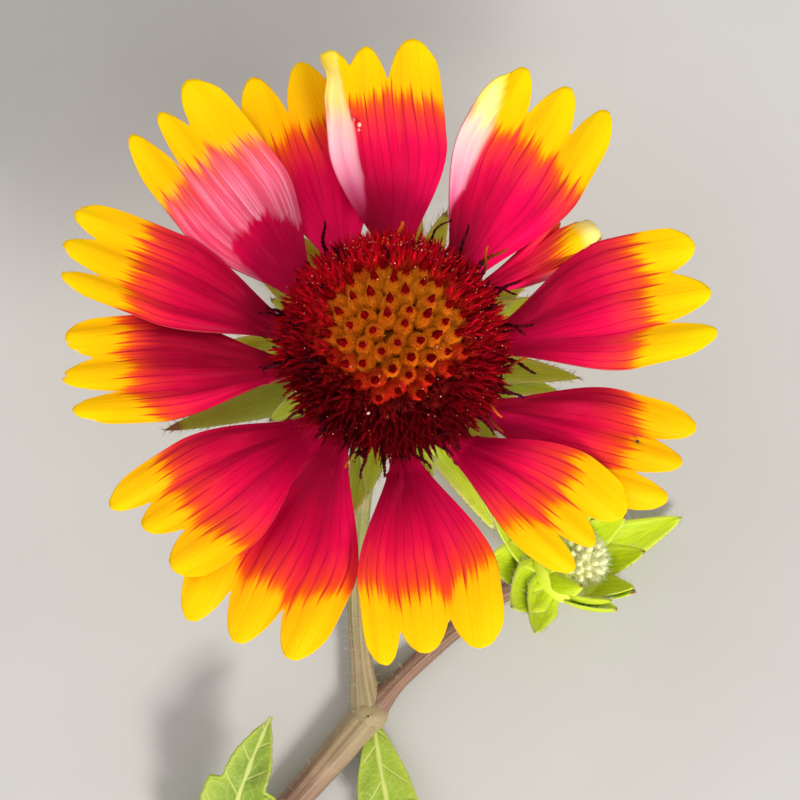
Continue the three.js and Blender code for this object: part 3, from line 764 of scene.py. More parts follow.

# ---- The rays ------------------------------------------------------------------------------------
# Thirteen ray florets stand round the head, each a thin, soft blade on a narrow claw, cut into three
# rounded teeth. Pigment stains them crimson from the foot and runs out along the veins into the yellow.

# at, toward: the angle where the blade leaves the disc and the way it points; lobes: how far its left,
# middle and right teeth reach; clefts: (reach, place across) of the cuts between them; half: its width
# left and right; layer, lift, arch, folds: how it lies; turn: where crimson gives way to yellow at its
# left, middle and right; orange_and_shade: how orange and dark its yellow is, partly its own tone and
# partly painted shade; painted_shading: at its left, middle and right, how much painted shade darkens its
# crimson, or painted light brightens it where it is under 0; shoulder: how far its left edge runs straight;
# full: where it gets its full width; crease: the line, as (reach, place across), of a sharp fold in its
# left half, painted pale from there to its edge as a painted highlight; pinch: (reach, depth) of a waist in
# that edge; ragged: how nibbled its teeth are; painted_sheen: how streaked it is with a painted pink
# highlight; rolled: where its middle tooth starts to turn over. RIM is how far from the axis the blades
# leave the disc, and CLAW how far in from there they are rooted.
RAYS = [
    dict(at=88, toward=97, lobes=(21.1, 21.4, 21.6), clefts=((19.6, 2.9), (17.6, -1.2)), half=(6.4, 6.9),
         layer=0.9, lift=3.2, arch=0.4, folds=(3.6, 1.4), turn=(13.8, 15.4, 13.8), orange_and_shade=0.05,
         painted_shading=(0.0, -0.25, -0.6), full=10.0,
         crease=((1, 0.96), (4, 0.62), (7, 0.45), (13, 0.48), (15, 0.56), (17, 0.66), (18.5, 0.66),
                 (21, 0.6)),
         pinch=(17.3, 0.55)),
    dict(at=52, toward=61, lobes=(22.6, 23.0, 22.6), clefts=((18.2, 2.3), (18.2, -3.0)), half=(7.7, 7.5),
         layer=0.7, lift=2.8, arch=0.6, folds=(3.4, 0.8), turn=(14.5, 15.0, 12.0), orange_and_shade=0.0,
         painted_shading=(0.4, -0.3, -1.0), shoulder=16.4,
         crease=((4.0, 0.95), (7.2, 0.66), (10.8, 0.59), (14.3, 0.59), (17.8, 0.70), (20.2, 0.80),
                 (22.6, 0.95))),
    dict(at=36, toward=27, lobes=(10.4, 14.8, 10.6), clefts=((9.2, 2.5), (9.0, -1.3)), half=(4.1, 2.45),
         layer=-0.9, lift=2.4, arch=0.2, folds=(1.0, 0.8), turn=(11.0, 9.0, 8.4), orange_and_shade=0.0,
         painted_shading=(0.0, 0.2, -1.0), rolled=11.4),
    dict(at=9, toward=14.2, lobes=(22.4, 22.8, 22.2), clefts=((19.0, 3.0), (17.2, -2.5)), half=(8.2, 6.9),
         layer=0.6, lift=0.8, arch=1.2, folds=(0.7, 0.5), turn=(15.5, 15.6, 10.8), orange_and_shade=0.0,
         painted_shading=(0.7, -0.4, 0.0)),
    dict(at=332, toward=347.2, lobes=(21.6, 20.9, 20.2), clefts=((17.4, 1.4), (16.0, -2.8)), half=(5.8, 6.9),
         layer=-0.8, lift=0.0, arch=0.9, folds=(0.5, -0.9), turn=(14.2, 14.6, 9.5), orange_and_shade=0.6,
         painted_shading=(1.1, -0.4, -0.1)),
    dict(at=307, toward=324.5, lobes=(18.3, 17.6, 17.4), clefts=((15.0, 1.7), (13.6, -1.9)), half=(7.4, 5.9),
         layer=0.8, lift=-1.0, arch=1.6, folds=(0.1, 0.2), turn=(10.4, 11.6, 8.2), orange_and_shade=0.4,
         painted_shading=(0.0, -0.3, -0.3)),
    dict(at=277, toward=278, lobes=(20.4, 20.2, 21.0), clefts=((16.8, 2.5), (17.6, -3.0)), half=(8.5, 7.0),
         layer=0.2, lift=-1.0, arch=1.5, folds=(0.3, 0.4), turn=(10.8, 13.8, 12.4), orange_and_shade=0.6,
         painted_shading=(-0.3, 0.0, 0.1)),
    dict(at=240, toward=245, lobes=(22.0, 22.8, 22.8), clefts=((17.3, 2.9), (17.9, -3.1)), half=(8.8, 8.4),
         layer=-0.9, lift=-1.2, arch=1.2, folds=(0.4, 0.2), turn=(12.8, 16.0, 10.9), orange_and_shade=0.6,
         painted_shading=(-0.3, 0.6, -0.2)),
    dict(at=222, toward=213.2, lobes=(20.0, 20.2, 21.9), clefts=((16.5, 2.9), (17.7, -1.6)), half=(8.6, 5.7),
         layer=0.8, lift=-0.8, arch=1.5, folds=(0.2, 0.2), turn=(12.2, 14.6, 14.6), orange_and_shade=0.45,
         painted_shading=(-0.1, 0.1, 0.8)),
    dict(at=188, toward=184, lobes=(21.6, 22.6, 22.0), clefts=((16.6, 1.8), (19.0, -2.2)), half=(5.6, 6.7),
         layer=-0.7, lift=0.4, arch=1.2, folds=(0.3, 0.3), turn=(12.2, 15.0, 15.9), orange_and_shade=0.35,
         painted_shading=(-0.1, 0.9, 1.5), ragged=0.35),
    dict(at=166, toward=158.8, lobes=(23.2, 24.4, 24.6), clefts=((19.0, 2.6), (21.2, -1.2)), half=(5.5, 5.2),
         layer=0.6, lift=1.0, arch=1.4, folds=(0.3, 0.3), turn=(15.0, 15.8, 16.2), orange_and_shade=0.3,
         painted_shading=(0.3, 0.35, 0.6), ragged=0.2),
    dict(at=141, toward=129.2, lobes=(23.6, 23.8, 24.8), clefts=((17.2, 2.3), (20.6, -1.5)), half=(6.8, 6.8),
         layer=0.4, lift=2.2, arch=1.0, folds=(0.4, 1.2), turn=(14.8, 16.0, 14.6), orange_and_shade=0.2,
         painted_shading=(-0.4, -0.3, -0.3), full=11.0, painted_sheen=1.0),
    dict(at=116, toward=108.4, lobes=(21.6, 21.8, 20.8), clefts=((16.6, 0.2), (17.2, -5.6)), half=(5.6, 8.4),
         layer=-1.0, lift=2.0, arch=0.8, folds=(0.8, 0.6), turn=(12.0, 14.2, 14.2), orange_and_shade=0.4,
         painted_shading=(-0.9, -0.7, -1.0), full=11.0),
]
RAY_ROWS, LOBE_COLUMNS = 60, 18
RIM, CLAW = 13.6, 5.6

# What each point of a ray carries. place: how far out and across it is, and a number of the ray's own.
# stain_and_glare: how far past the turn from crimson to yellow, how much a painted highlight pales it, and
# how orange and dark it is, partly its own tone and partly painted shade. tone: whether it is on the
# underside, in the painted pink gleam, on a nibbled edge. shade: how much painted shade darkens its
# crimson, and how much painted light brightens it.
ray_skin, new = start_material("ray_skin")
out, across, own = new.marks("place")
past, pale, orange_and_shade = new.marks("stain_and_glare")
under, painted_gleam, cut = new.marks("tone")
painted_shading, painted_light, _ = new.marks("shade")
# Fine lengthwise veins, each wandering a little, and the broader streaks between them.
wander = new.noise(new.vector(out * 0.12, across * 1.6, own), 1.0, 2.0)
rank = (across * 6.5 + (wander - 0.5) * 0.9) % 1.0
vein = 1 - abs(rank - 0.5).smooth(0.0, 0.15)
vein = vein * new.noise(new.vector(out * 0.2, across * 9.0, own + 11.0), 1.0, 2.0).smooth(0.30, 0.55)
thread = new.noise(new.vector(out * 0.06, across * 26.0, own), 1.0, 3.0, 0.6)
streak = new.noise(new.vector(out * 0.06, across * 8.0, own + 20.0), 1.0, 3.0, 0.55)
cloud = new.noise(new.vector(out * 0.18, across * 2.2, own + 40.0), 1.0, 2.0)
# How far past the line where the pigment gives out a point lies: it runs further along the veins.
finger = new.noise(new.vector(out * 0.05, across * 6.0, own + 80.0), 1.0, 3.0, 0.6)
front = past - (finger - 0.5) * 4.4 - (thread - 0.5) * 3.0 - vein * 1.0
yellow = ((front + 12.0) / 19.0).ramp(
    (0.00, 160, 0, 46), (0.20, 196, 0, 58), (0.36, 224, 12, 70), (0.45, 240, 40, 66),
    (0.53, 244, 56, 56), (0.58, 244, 78, 36), (0.615, 248, 112, 14), (0.64, 252, 156, 0),
    (0.68, 254, 190, 0), (1.00, 254, 209, 0))
orange = ((front + 12.0) / 19.0).ramp(
    (0.00, 150, 0, 42), (0.20, 186, 0, 52), (0.36, 214, 8, 54), (0.45, 226, 32, 46),
    (0.53, 228, 48, 28), (0.58, 226, 66, 14), (0.615, 234, 90, 2), (0.645, 246, 132, 0),
    (0.69, 249, 160, 0), (1.00, 252, 184, 0))
colour = orange_and_shade.mix(yellow, orange)
red_share = 1 - front.smooth(-1.6, 1.0)
# Painted shade: darker at the foot, where the disc shades the rays.
colour = ((1 - out.smooth(0.0, 6.0)) * 0.4).mix(colour, (112, 0, 22))
# Painted shade and painted light, set for each ray, darken or brighten its crimson.
colour = (painted_shading * (0.4 + streak * 0.4) * (1 - front.smooth(-4.0, 0.6))).mix(colour, (124, 0, 26))
colour = (painted_light * 0.8 * (1 - front.smooth(-7.0, -2.0))).mix(colour, (252, 2, 88))
dark_streaks = (1 - streak.smooth(0.26, 0.54)) * 0.26 * red_share
colour = dark_streaks.mix(colour, (140, 0, 42))
colour = (cloud.smooth(0.5, 0.8) * 0.25 * red_share).mix(colour, (238, 34, 86))
colour = (vein * (0.02 + red_share * 0.36)).mix(colour, (136, 0, 44))
near_front = front.smooth(-5.0, -1.5) * (1 - front.smooth(-0.2, 0.8))
colour = (vein * near_front * 0.36).mix(colour, (150, 4, 20))
# A painted highlight pales the strip beyond a crease, and a painted pink gleam breaks up along the threads.
painted_glare = ((out + thread * 3.0) / 15.5).ramp(
    (0.00, 226, 4, 84), (0.22, 242, 46, 118), (0.45, 246, 120, 164), (0.75, 246, 186, 196),
    (1.00, 250, 214, 190))
painted_glare = front.smooth(-2.4, 0.8).mix(painted_glare, (253, 238, 150))
painted_glare = front.smooth(2.5, 6.0).mix(painted_glare, (254, 226, 70))
colour = (pale * (0.72 + streak.smooth(0.3, 0.6) * 0.28)).mix(colour, painted_glare)
gleam = painted_gleam * (0.20 + (streak * 0.6 + thread * 0.4).smooth(0.42, 0.63) * 0.60)
gleam = gleam * (1 - front.smooth(-4.5, 0.5) * 0.6) * (1 - across.smooth(-0.1, 0.6) * 0.45)
colour = gleam.mix(colour, (255, 164, 190))
back = front.smooth(-1.0, 1.2).mix((196, 84, 84), (232, 190, 84))
colour = (under * 0.75).mix(colour, back)
colour = cut.mix(colour, (226, 206, 186))
relief = new.bump(streak + thread * 0.25 - vein * 0.3, 0.07, 0.6)
new.surface(colour, 0.42 + thread * 0.15, relief, 0.05, (0.10, (1.0, 0.2, 0.1), 0.6))


def ray_grid(ray):
    """A ray's middle points in the bloom's own frame, and how far out, across and near a cut each is."""
    left, right = ray["half"]
    (cleft_a, at_a), (cleft_b, at_b) = ray["clefts"]
    # Columns run from the left edge to the right, closest together at the sides of each tooth.
    cuts = [1, at_a / left, at_b / right, -1]
    levels = [ray.get("shoulder", cleft_a + 0.8), cleft_a, cleft_b, cleft_b + 0.8]
    columns = []
    for lobe in range(3):
        aside = np.cos(np.linspace(0, np.pi, LOBE_COLUMNS + 1))[0 if lobe == 0 else 1:]
        middle = (cuts[lobe] + cuts[lobe + 1]) / 2
        reach = (cuts[lobe] - cuts[lobe + 1]) / 2
        for value in aside:
            columns.append((middle + reach * value, value, middle, lobe))
    across, aside, middle, lobe = [np.array(values) for values in zip(*columns)]
    lobe = lobe.astype(int)
    # The outline: each tooth rises from the levels of the cuts beside it, and some are nibbled.
    low = np.take(levels, lobe + 1)
    level = low + (np.take(levels, lobe) - low) * (aside + 1) / 2
    tip = np.take(ray["lobes"], lobe)
    edge = level + (tip - level) * np.clip(1 - aside ** 2, 0, 1) ** 0.62
    edge = edge - 0.08 * np.abs(np.sin(across * 19 + ray["at"]))
    bites = np.clip(np.sin(across * 23 + ray["at"]) * np.sin(across * 9.7 + 2 * ray["at"]) - 0.3, 0, 1)
    edge = edge - 1.5 * ray.get("ragged", 0) * bites
    share = np.linspace(0, 1, RAY_ROWS + 1)[:, None] ** 0.9
    out = -CLAW + (edge[None] + CLAW) * share
    width = 0.13 + 0.87 * smooth(out, -4.5, ray.get("full", 12.5))
    narrowing = 0.16 * smooth(out, level[None] - 2, tip[None])
    side = (across - (across - middle) * narrowing) * np.where(across > 0, left, right) * width
    waist, depth = ray.get("pinch", (0, 0))
    side = side - depth * np.exp(-((out - waist) / 1.6) ** 2) * smooth(across, 0.3, 1.0)
    # How it lies: bowed, folded up along its sides or past its crease, pleated, rippled and crimped.
    reach = np.maximum(0, out / max(ray["lobes"]))
    folds = np.where(across > 0, ray["folds"][0], ray["folds"][1])
    bend = across ** 2 * np.ones_like(out)
    if "crease" in ray:
        crease = np.interp(out, *zip(*ray["crease"]))
        sharp = np.clip((across - crease) / (1 - crease), 0, 1) ** 1.15 * (1 - 0.6 * smooth(reach, 0.8, 1.0))
        bend = np.where(across > 0, sharp, bend)
    fold = folds * bend * smooth(reach, 0.1, 0.7)
    pleat = 0.24 * np.cos(np.pi * aside) * smooth(reach, 0.0, 0.4)
    ripple = 0.12 * np.sin(out * 0.55 + 5 * across + ray["at"]) * smooth(reach, 0.3, 1.0) * np.abs(across)
    crimp = 0.05 * np.sin(across * 21 + 0.25 * out + ray["at"]) * smooth(reach, 0.0, 0.3)
    bow = ray["lift"] * reach ** 1.5 + ray["arch"] * 4 * reach * (1 - reach)
    height = bow + ray["layer"] * smooth(reach, 0.0, 0.35) + fold + pleat + ripple + crimp
    reached = out
    if "rolled" in ray:
        # The middle tooth humps up, and its end turns over and down.
        over = np.where(lobe == 1, np.maximum(0, out - ray["rolled"]), 0) * 1.8
        turn = np.minimum(over / 2.2, 2.6)
        reached = np.where(over > 0, ray["rolled"] + 2.2 * np.sin(turn), out)
        hump = 2.6 * np.where(lobe == 1, 1 - 0.4 * aside ** 2, 0) * smooth(out, 6, 11.4)
        height = height + hump - 2.2 * (1 - np.cos(turn))
    flat = stacked(reached, side, height)
    middle_points = flat @ turned(ray["toward"], "Z").T + round_axis(RIM, ray["at"], 0)
    near_cleft = np.exp(-((across - cuts[1]) / 0.10) ** 2) + np.exp(-((across - cuts[2]) / 0.10) ** 2)
    at_edge = smooth(out, edge[None] - 0.22, edge[None])
    at_edge = at_edge * np.minimum(1, 4 * bites[None] * ray.get("ragged", 0))
    return middle_points, out, np.broadcast_to(across, out.shape), near_cleft, at_edge


rim = lathe([(6.8, -0.75), (9.7, -0.75), (9.9, -0.2), (9.6, 0.4), (6.8, 0.45), (6.8, -0.75)], 52)
piece("ray_rim", on_bloom(rim), cup_green, "ray_florets")
for number, ray in enumerate(RAYS, 1):
    middle, out, across, near_cleft, at_edge = ray_grid(ray)
    turn_left, turn_middle, turn_right = ray["turn"]
    side_line = np.where(across > 0, turn_left, turn_right)
    line = turn_middle + (side_line - turn_middle) * np.abs(across) ** 1.5 + 1.1 * near_cleft
    past = out - line
    # Painted highlight: how pale the strip past a crease is, or on the rolled ray its edges and turned-over
    # end.
    pale = np.zeros_like(out)
    if "crease" in ray:
        crease = np.interp(out, *zip(*ray["crease"]))
        pale = smooth(across - crease, -0.01, 0.09) * smooth(out, 1.5, 7.0)
        pale = pale * (1 - 0.5 * smooth(across, 0.90, 0.98) * smooth(past, -2.5, 0.0))
    if "rolled" in ray:
        pale = smooth(-across, 0.72, 0.9) * smooth(out, 4.5, 7.0) * 0.8
        pale = np.maximum(pale, smooth(across, 0.75, 0.9) * smooth(out, 8.8, 9.6) * 0.7)
        pale = np.maximum(pale, smooth(out, 10.8, 12.2) * (np.abs(across) < 0.62) * 0.9)
    # The painted pink gleam starts past a jagged line, a painted edge of the disc's shadow.
    painted_shadow_edge = np.interp(across, (-0.9, -0.68, -0.27, 0.56, 0.75, 0.95), (4.4, 5.4, 7.8, 7.4, 5.0, 2.0))
    painted_shadow_edge = painted_shadow_edge + 0.5 * np.sin(across * 31) * np.sin(across * 12.7)
    gleam = ray.get("painted_sheen", 0) * smooth(out, painted_shadow_edge - 0.2, painted_shadow_edge + 0.3) * (1 - smooth(past, -1.0, 1.4))
    place = stacked(out, across, number * 7.31)
    stain_and_glare = stacked(past, pale, ray["orange_and_shade"])
    thick = 0.4 - 0.22 * smooth(out, 2.0, 18.0) + 0.5 * (1 - smooth(out, -5.0, 3.0))
    shape = on_bloom(sheet(middle, thick, place))
    upper = stacked(0, gleam, at_edge).reshape(-1, 3)
    # Painted shade across the ray, or painted light where it is under 0.
    shade = np.interp(-across, (-0.7, 0.0, 0.7), ray["painted_shading"])
    shade = stacked(np.maximum(0, shade), np.maximum(0, -shade), 0).reshape(-1, 3)
    lower = stacked(1, 0, at_edge).reshape(-1, 3)
    extra = {"stain_and_glare": np.concatenate([stain_and_glare.reshape(-1, 3)] * 2), "tone": np.concatenate([upper, lower]),
             "shade": np.concatenate([shade] * 2)}
    piece(f"ray_floret_{number:02d}", shape, ray_skin, "ray_florets", extra)

# ---- The disc ------------------------------------------------------------------------------------
# A low dome crowded with small tubular florets. Those in the middle are still closed: a dark-red point
# in a collar of golden fuzz. Those round them are open, maroon and bristly, with purple-black styles.

DOME_SPREAD, DOME_RADIUS, DOME_HEIGHT, DOME_FOOT = 86, 10.2, 6.4, 1.95
FLORETS, OPEN_FROM, BRUSHES_TO = 240, 0.456, 0.55
COLLAR_FUZZ, BRUSH_FUZZ = 1020, 420
LOBE_BRISTLES, CUP_BRISTLES = 235, 105


def on_dome(share, angle):
    return on_head(share, angle, DOME_SPREAD, DOME_RADIUS, DOME_HEIGHT, DOME_FOOT)


dome_skin, new = start_material("dome_skin")
share = new.marks("place")[0]
speckle = new.noise(new.spot(), 900.0, 3.0)
inner = speckle.smooth(0.3, 0.7).mix((110, 64, 6), (160, 96, 10))
outer = speckle.smooth(0.3, 0.7).mix((66, 0, 4), (98, 0, 8))
dome_colour = share.smooth(0.68, 0.76).mix(outer, inner)
new.surface(dome_colour, 0.85, new.bump(speckle, 0.2, 0.8), 0.1)

dome_profile = [(0, 0.75), (9.0, 0.75), (9.9, 1.25)]
for step in range(17):
    polar = math.radians(5 * step)
    dome_profile.append((DOME_RADIUS * math.cos(polar), DOME_FOOT + DOME_HEIGHT * math.sin(polar)))
dome_profile.append((0, DOME_FOOT + DOME_HEIGHT))
piece("disc_dome", on_bloom(lathe(dome_profile, 64)), dome_skin, "disc_florets")

draw = np.random.default_rng(57)
shares, angles = spiral(FLORETS)
closed = [(s, a) for s, a in zip(shares, angles) if s <= OPEN_FROM]
opened = [(s, a) for s, a in zip(shares, angles) if s > OPEN_FROM]

# A closed floret is a velvety barrel, olive below, golden up its side and orange on its shoulder.
barrel_gold, new = start_material("barrel_gold")
up, turn, own = new.marks("place")
nap = new.noise(new.vector(up * 2.0, turn * 5.0, own * 90.0), 3.0, 3.0, 0.65)
gold = nap.smooth(0.3, 0.7).mix((214, 104, 0), (250, 150, 6))
gold = up.smooth(0.0, 0.32).mix((120, 60, 2), gold)
shoulder = own.mix(nap.mix((204, 70, 2), (240, 112, 6)), (196, 22, 4))
gold = (up - own * 0.4).smooth(0.62, 0.86).mix(gold, shoulder)
new.surface(gold, 0.75, new.bump(nap, 0.25, 0.9), 0.1)

tip_red, new = start_material("tip_red")
velvet = new.noise(new.spot(), 2600.0, 2.0)
red = velvet.smooth(0.3, 0.7).mix((76, 0, 2), (124, 2, 4))
new.surface(red, 0.8, new.bump(velvet, 0.12, 0.9), 0.02)

# The fuzz on it: golden on its side, orange on its shoulder, red at the edge of the golden middle. What it
# carries as hue_and_light: how red it is, how high on its floret, and how much painted light brightens it,
# or under 0 how much painted shade darkens it.
fuzz_gold, new = start_material("fuzz_gold")
share, own, _ = new.marks("place")
redness, high, lit = new.marks("hue_and_light")
gold = own.mix((236, 104, 2), (252, 158, 12))
amber = own.mix((236, 64, 4), (255, 116, 12))
ember = own.mix((196, 4, 4), (244, 50, 8))
# Painted light: lighter gold on the lit side. Painted shade, where it is under 0: dark red.
gold = lit.mix(gold, (255, 156, 16))
gold = high.mix(gold, amber)
gold = (redness * 1.2 + share * 0.3 - 0.25).smooth(0.05, 0.9).mix(gold, ember)
gold = share.smooth(0.0, 0.4).mix((176, 80, 2), gold)
gold = (lit * -1.0).mix(gold, (92, 1, 4))
new.surface(gold, 0.6, shine=0.15)


def bristles(roots, ways, lengths, thick, draw):
    """Straight three-sided bristles, each of three faces. Their marks are those of hairs."""
    count = len(roots)
    ways = unit(ways)
    side = unit(np.cross(ways, draw.normal(size=(count, 3))))
    other = np.cross(ways, side)
    thick = np.broadcast_to(thick, count)[:, None]
    points = np.empty((count, 4, 3))
    for corner in range(3):
        turn = 2 * np.pi * corner / 3
        points[:, corner] = roots + (side * math.cos(turn) + other * math.sin(turn)) * thick / 2
    points[:, 3] = roots + ways * np.broadcast_to(lengths, count)[:, None]
    marks = np.zeros((count, 4, 3))
    marks[:, 3, 0] = 1
    marks[:, :, 1] = draw.uniform(0, 1, (count, 1))
    faces = [(a + b, a + (b + 1) % 3, a + 3) for a in range(0, 4 * count, 4) for b in range(3)]
    return points.reshape(-1, 3), faces, marks.reshape(-1, 3)


BARREL = [(0.0, -0.6), (1.0, -0.5), (1.08, 0.4), (0.98, 1.0), (0.8, 1.5), (0.6, 1.9), (0.42, 2.2),
          (0.0, 2.2)]
NUB = [(0.0, 1.5), (0.42, 1.8), (0.49, 2.2), (0.46, 2.6), (0.34, 3.05), (0.18, 3.45), (0.06, 3.7),
       (0.0, 3.75)]
barrel_parts = []
nub_parts = []
fuzz_parts = []
fuzz_ripe = []
for share, angle in closed:
    seat, way = on_dome(share, angle)
    size = 0.81 + 0.2 * share
    tall = size * draw.uniform(0.92, 1.1)
    way = unit(way * np.array([1.4, 1.4, 1]) + np.array([0, 0.12, 0]) + draw.normal(size=3) * 0.05)
    turn = upright_to(way)
    low_side = share * max(0.0, -math.sin(angle))
    redness = float(smooth(share + 0.45 * low_side, 0.33, 0.60))
    # Painted light, brightest on the side of the golden middle toward the upper right.
    lit = max(0.0, math.cos(angle - math.radians(60))) * share * 2
    points, faces, marks = lathe(BARREL, 12)
    marks[:, 0] = np.clip(points[:, 2] / 2.2, 0, 1)
    marks[:, 2] = redness
    barrel_parts.append(placed((points * np.array([size, size, tall]), faces, marks), turn, seat))
    points, faces, marks = lathe(NUB, 20)
    ridges = 1 + 0.12 * np.cos(5 * marks[:, 1:2] + 2 * marks[:, :1]) * np.array([1, 1, 0])
    scale = np.array([size, size, tall]) * (0.88 + 0.24 * draw.uniform())
    nub_parts.append(placed((points * ridges * scale, faces, marks), turn, seat))
    # Its fuzz, thickest a little over half way up, stands up and out from it.
    count = COLLAR_FUZZ
    ring = spokes(draw.uniform(0, 2 * np.pi, count), turn)
    level = draw.beta(2.0, 1.5, count)
    radius = np.interp(level, [0, 0.2, 0.5, 0.75, 0.92, 1.0], [1.05, 1.06, 0.95, 0.72, 0.52, 0.42]) * size
    roots = seat + ring * radius[:, None] + way * (level * 2.15 * tall)[:, None]
    lean = np.interp(level, [0.0, 0.4, 0.8, 1.0], [0.30, 0.36, 0.30, 0.10])[:, None]
    ways = way + ring * lean + draw.normal(size=(count, 3)) * 0.16
    lengths = draw.uniform(0.55, 1.05, count) * (1.05 - 0.55 * level)
    fuzz_parts.append(bristles(roots, ways, lengths, 0.085, draw))
    shine = np.repeat(smooth(level, 0.74, 1.0), 4)
    fuzz_ripe.append(np.column_stack([np.full(len(shine), redness), shine, np.full(len(shine), lit)]))
for share, angle in opened:
    if share > BRUSHES_TO:
        continue
    # Those next to open are brushes of longer fuzz, orange below and bright red at their tips.
    seat, way = on_dome(share, angle)
    turn = upright_to(way)
    count = BRUSH_FUZZ
    ring = spokes(draw.uniform(0, 2 * np.pi, count), turn)
    level = draw.uniform(0.0, 1.0, count)
    roots = seat + ring * (0.85 * draw.uniform(0.3, 1.0, count))[:, None] + way * (level * 1.9)[:, None]
    ways = way * 1.2 + ring * 0.3 + draw.normal(size=(count, 3)) * 0.16
    fuzz_parts.append(bristles(roots, ways, draw.uniform(0.6, 1.1, count), 0.08, draw))
    sunset = 0.9 - 0.45 * math.cos(angle - math.radians(55))
    redness = np.repeat(sunset + 0.4 * smooth(level + draw.normal(size=count) * 0.1, 0.2, 0.9), 4)
    # Painted shade on the brushes of the lower side.
    painted_dusk = 0.8 * max(0.0, -math.cos(angle - math.radians(100)))
    fuzz_ripe.append(np.column_stack([redness, redness * 0.8, redness * 0 - painted_dusk]))
closed_pieces = [
    ("disc_barrels", barrel_parts, barrel_gold, None),
    ("disc_nubs", nub_parts, tip_red, None),
    ("disc_fuzz", fuzz_parts, fuzz_gold, {"hue_and_light": np.vstack(fuzz_ripe)}),
]
for name, parts, material, extra in closed_pieces:
    piece(name, on_bloom(together(parts)), material, "disc_florets", extra)

# Bristles and lobes of the open florets: deep maroon velvet, some of it dried nearly black. What they carry
# as hue_and_light is how bright they are: painted light and shade by their angle round the disc, a little
# lighter for the youngest.
bristle_maroon, new = start_material("bristle_maroon")
share, own, _ = new.marks("place")
light = new.marks("hue_and_light")[0]
# Painted light sets how bright the maroon is, and the brightest get a bright red painted highlight.
maroon = (own * 0.2 + light * 0.8).smooth(0.05, 0.85).mix((88, 1, 8), (236, 14, 38))
maroon = (own * 0.3 + light * 0.7).smooth(0.78, 1.0).mix(maroon, (236, 24, 20))
maroon = (share.smooth(0.0, 0.5) * 0.7 + 0.3).mix((84, 0, 4), maroon)
maroon = (((light * 9.0) % 1.0).smooth(0.92, 0.95) * 0.7).mix(maroon, (52, 0, 10))
new.surface(maroon, 0.7, shine=0.03)

bristle_parts = []
bristle_light = []
lobe_parts = []
lobe_light = []
mouths = []
for share, angle in opened:
    seat, way = on_dome(share, angle)
    turn = upright_to(way)
    # Painted light and shade: brightest at the top of the disc, darkest at the bottom.
    sunny = 0.36 + 0.38 * math.cos(angle - math.radians(92))
    light = min(1.0, max(0.0, sunny + draw.uniform(-0.16, 0.20)))
    young = float(1 - smooth(share, 0.47, 0.58))
    tall = draw.uniform(0.9, 1.1)
    mouth = seat + way * (1.7 * tall)
    mouths.append((mouth, way, share))
    # Its cup, its five pointed lobes, the bristles along the lobes and those round the cup.
    profile = [(0.0, -2.0), (0.42, -1.9), (0.52, -0.9), (0.6, 0.0), (0.44, 0.05), (0.0, -0.4)]
    points, faces, marks = lathe(profile, 8)
    marks[:, 1] = 0.2
    lobe_parts.append(placed((points, faces, marks), turn, mouth))
    lobe_light.append(np.tile([light * 0.5, 0, 0], (len(lobe_parts[-1][0]), 1)))
    turns = draw.uniform(0, 2 * np.pi) + np.arange(5) * 2 * np.pi / 5 + draw.normal(size=5) * 0.2
    ring = spokes(turns, turn)
    lobe_ways = unit(way + ring * draw.uniform(0.1, 0.5, (5, 1)))
    lobe_roots = mouth + ring * 0.36 - way * 0.3
    lobe_lengths = draw.uniform(1.3, 2.4, 5)
    lobe_parts.append(hairs(lobe_roots, lobe_ways, lobe_lengths, 0.52, 0.12, draw))
    lobe_light.append(np.tile([light, 0, 0], (len(lobe_parts[-1][0]), 1)))
    count = LOBE_BRISTLES
    chosen = draw.integers(0, 5, count)
    along = draw.uniform(0, 0.95, count)
    off = unit(draw.normal(size=(count, 3))) * (0.24 * (1 - along))[:, None]
    roots = lobe_roots[chosen] + lobe_ways[chosen] * (along * lobe_lengths[chosen])[:, None] + off
    ways = lobe_ways[chosen] * 1.1 + off * 2.0 + draw.normal(size=(count, 3)) * 0.22
    bristle_parts.append(bristles(roots, ways, draw.uniform(0.25, 0.6, count), 0.06, draw))
    count = CUP_BRISTLES
    ring = spokes(draw.uniform(0, 2 * np.pi, count), turn)
    ways = way + ring * draw.uniform(0.0, 0.35, (count, 1)) + draw.normal(size=(count, 3)) * 0.10
    roots = seat + ring * draw.uniform(0.35, 0.75, (count, 1)) + way * draw.uniform(0, 1.2, (count, 1))
    bristle_parts.append(bristles(roots, ways, draw.uniform(0.9, 1.8, count), 0.08, draw))
    light = min(1.0, light + young * max(0.1, sunny) * 0.9)
    bristle_light.append(np.tile([light, 0, 0], (4 * (LOBE_BRISTLES + CUP_BRISTLES), 1)))
open_pieces = [
    ("disc_open_florets", lobe_parts, np.vstack(lobe_light)),
    ("disc_bristles", bristle_parts, np.vstack(bristle_light)),
]
for name, parts, light in open_pieces:
    piece(name, on_bloom(together(parts)), bristle_maroon, "disc_florets", {"hue_and_light": light})

# Each open floret pushes out a forked style, purple-black, curled and beaded with tiny stiff hairs.
style_purple, new = start_material("style_purple")
share, _, orange = new.marks("place")
beads = new.noise(new.spot(), 3000.0, 2.0)
purple = beads.smooth(0.4, 0.7).mix((34, 0, 8), (92, 8, 24))
purple = (share * orange).smooth(0.1, 1.0).mix(purple, (236, 112, 14))
new.surface(purple, 0.45, new.bump(beads, 0.08, 0.8), 0.04)

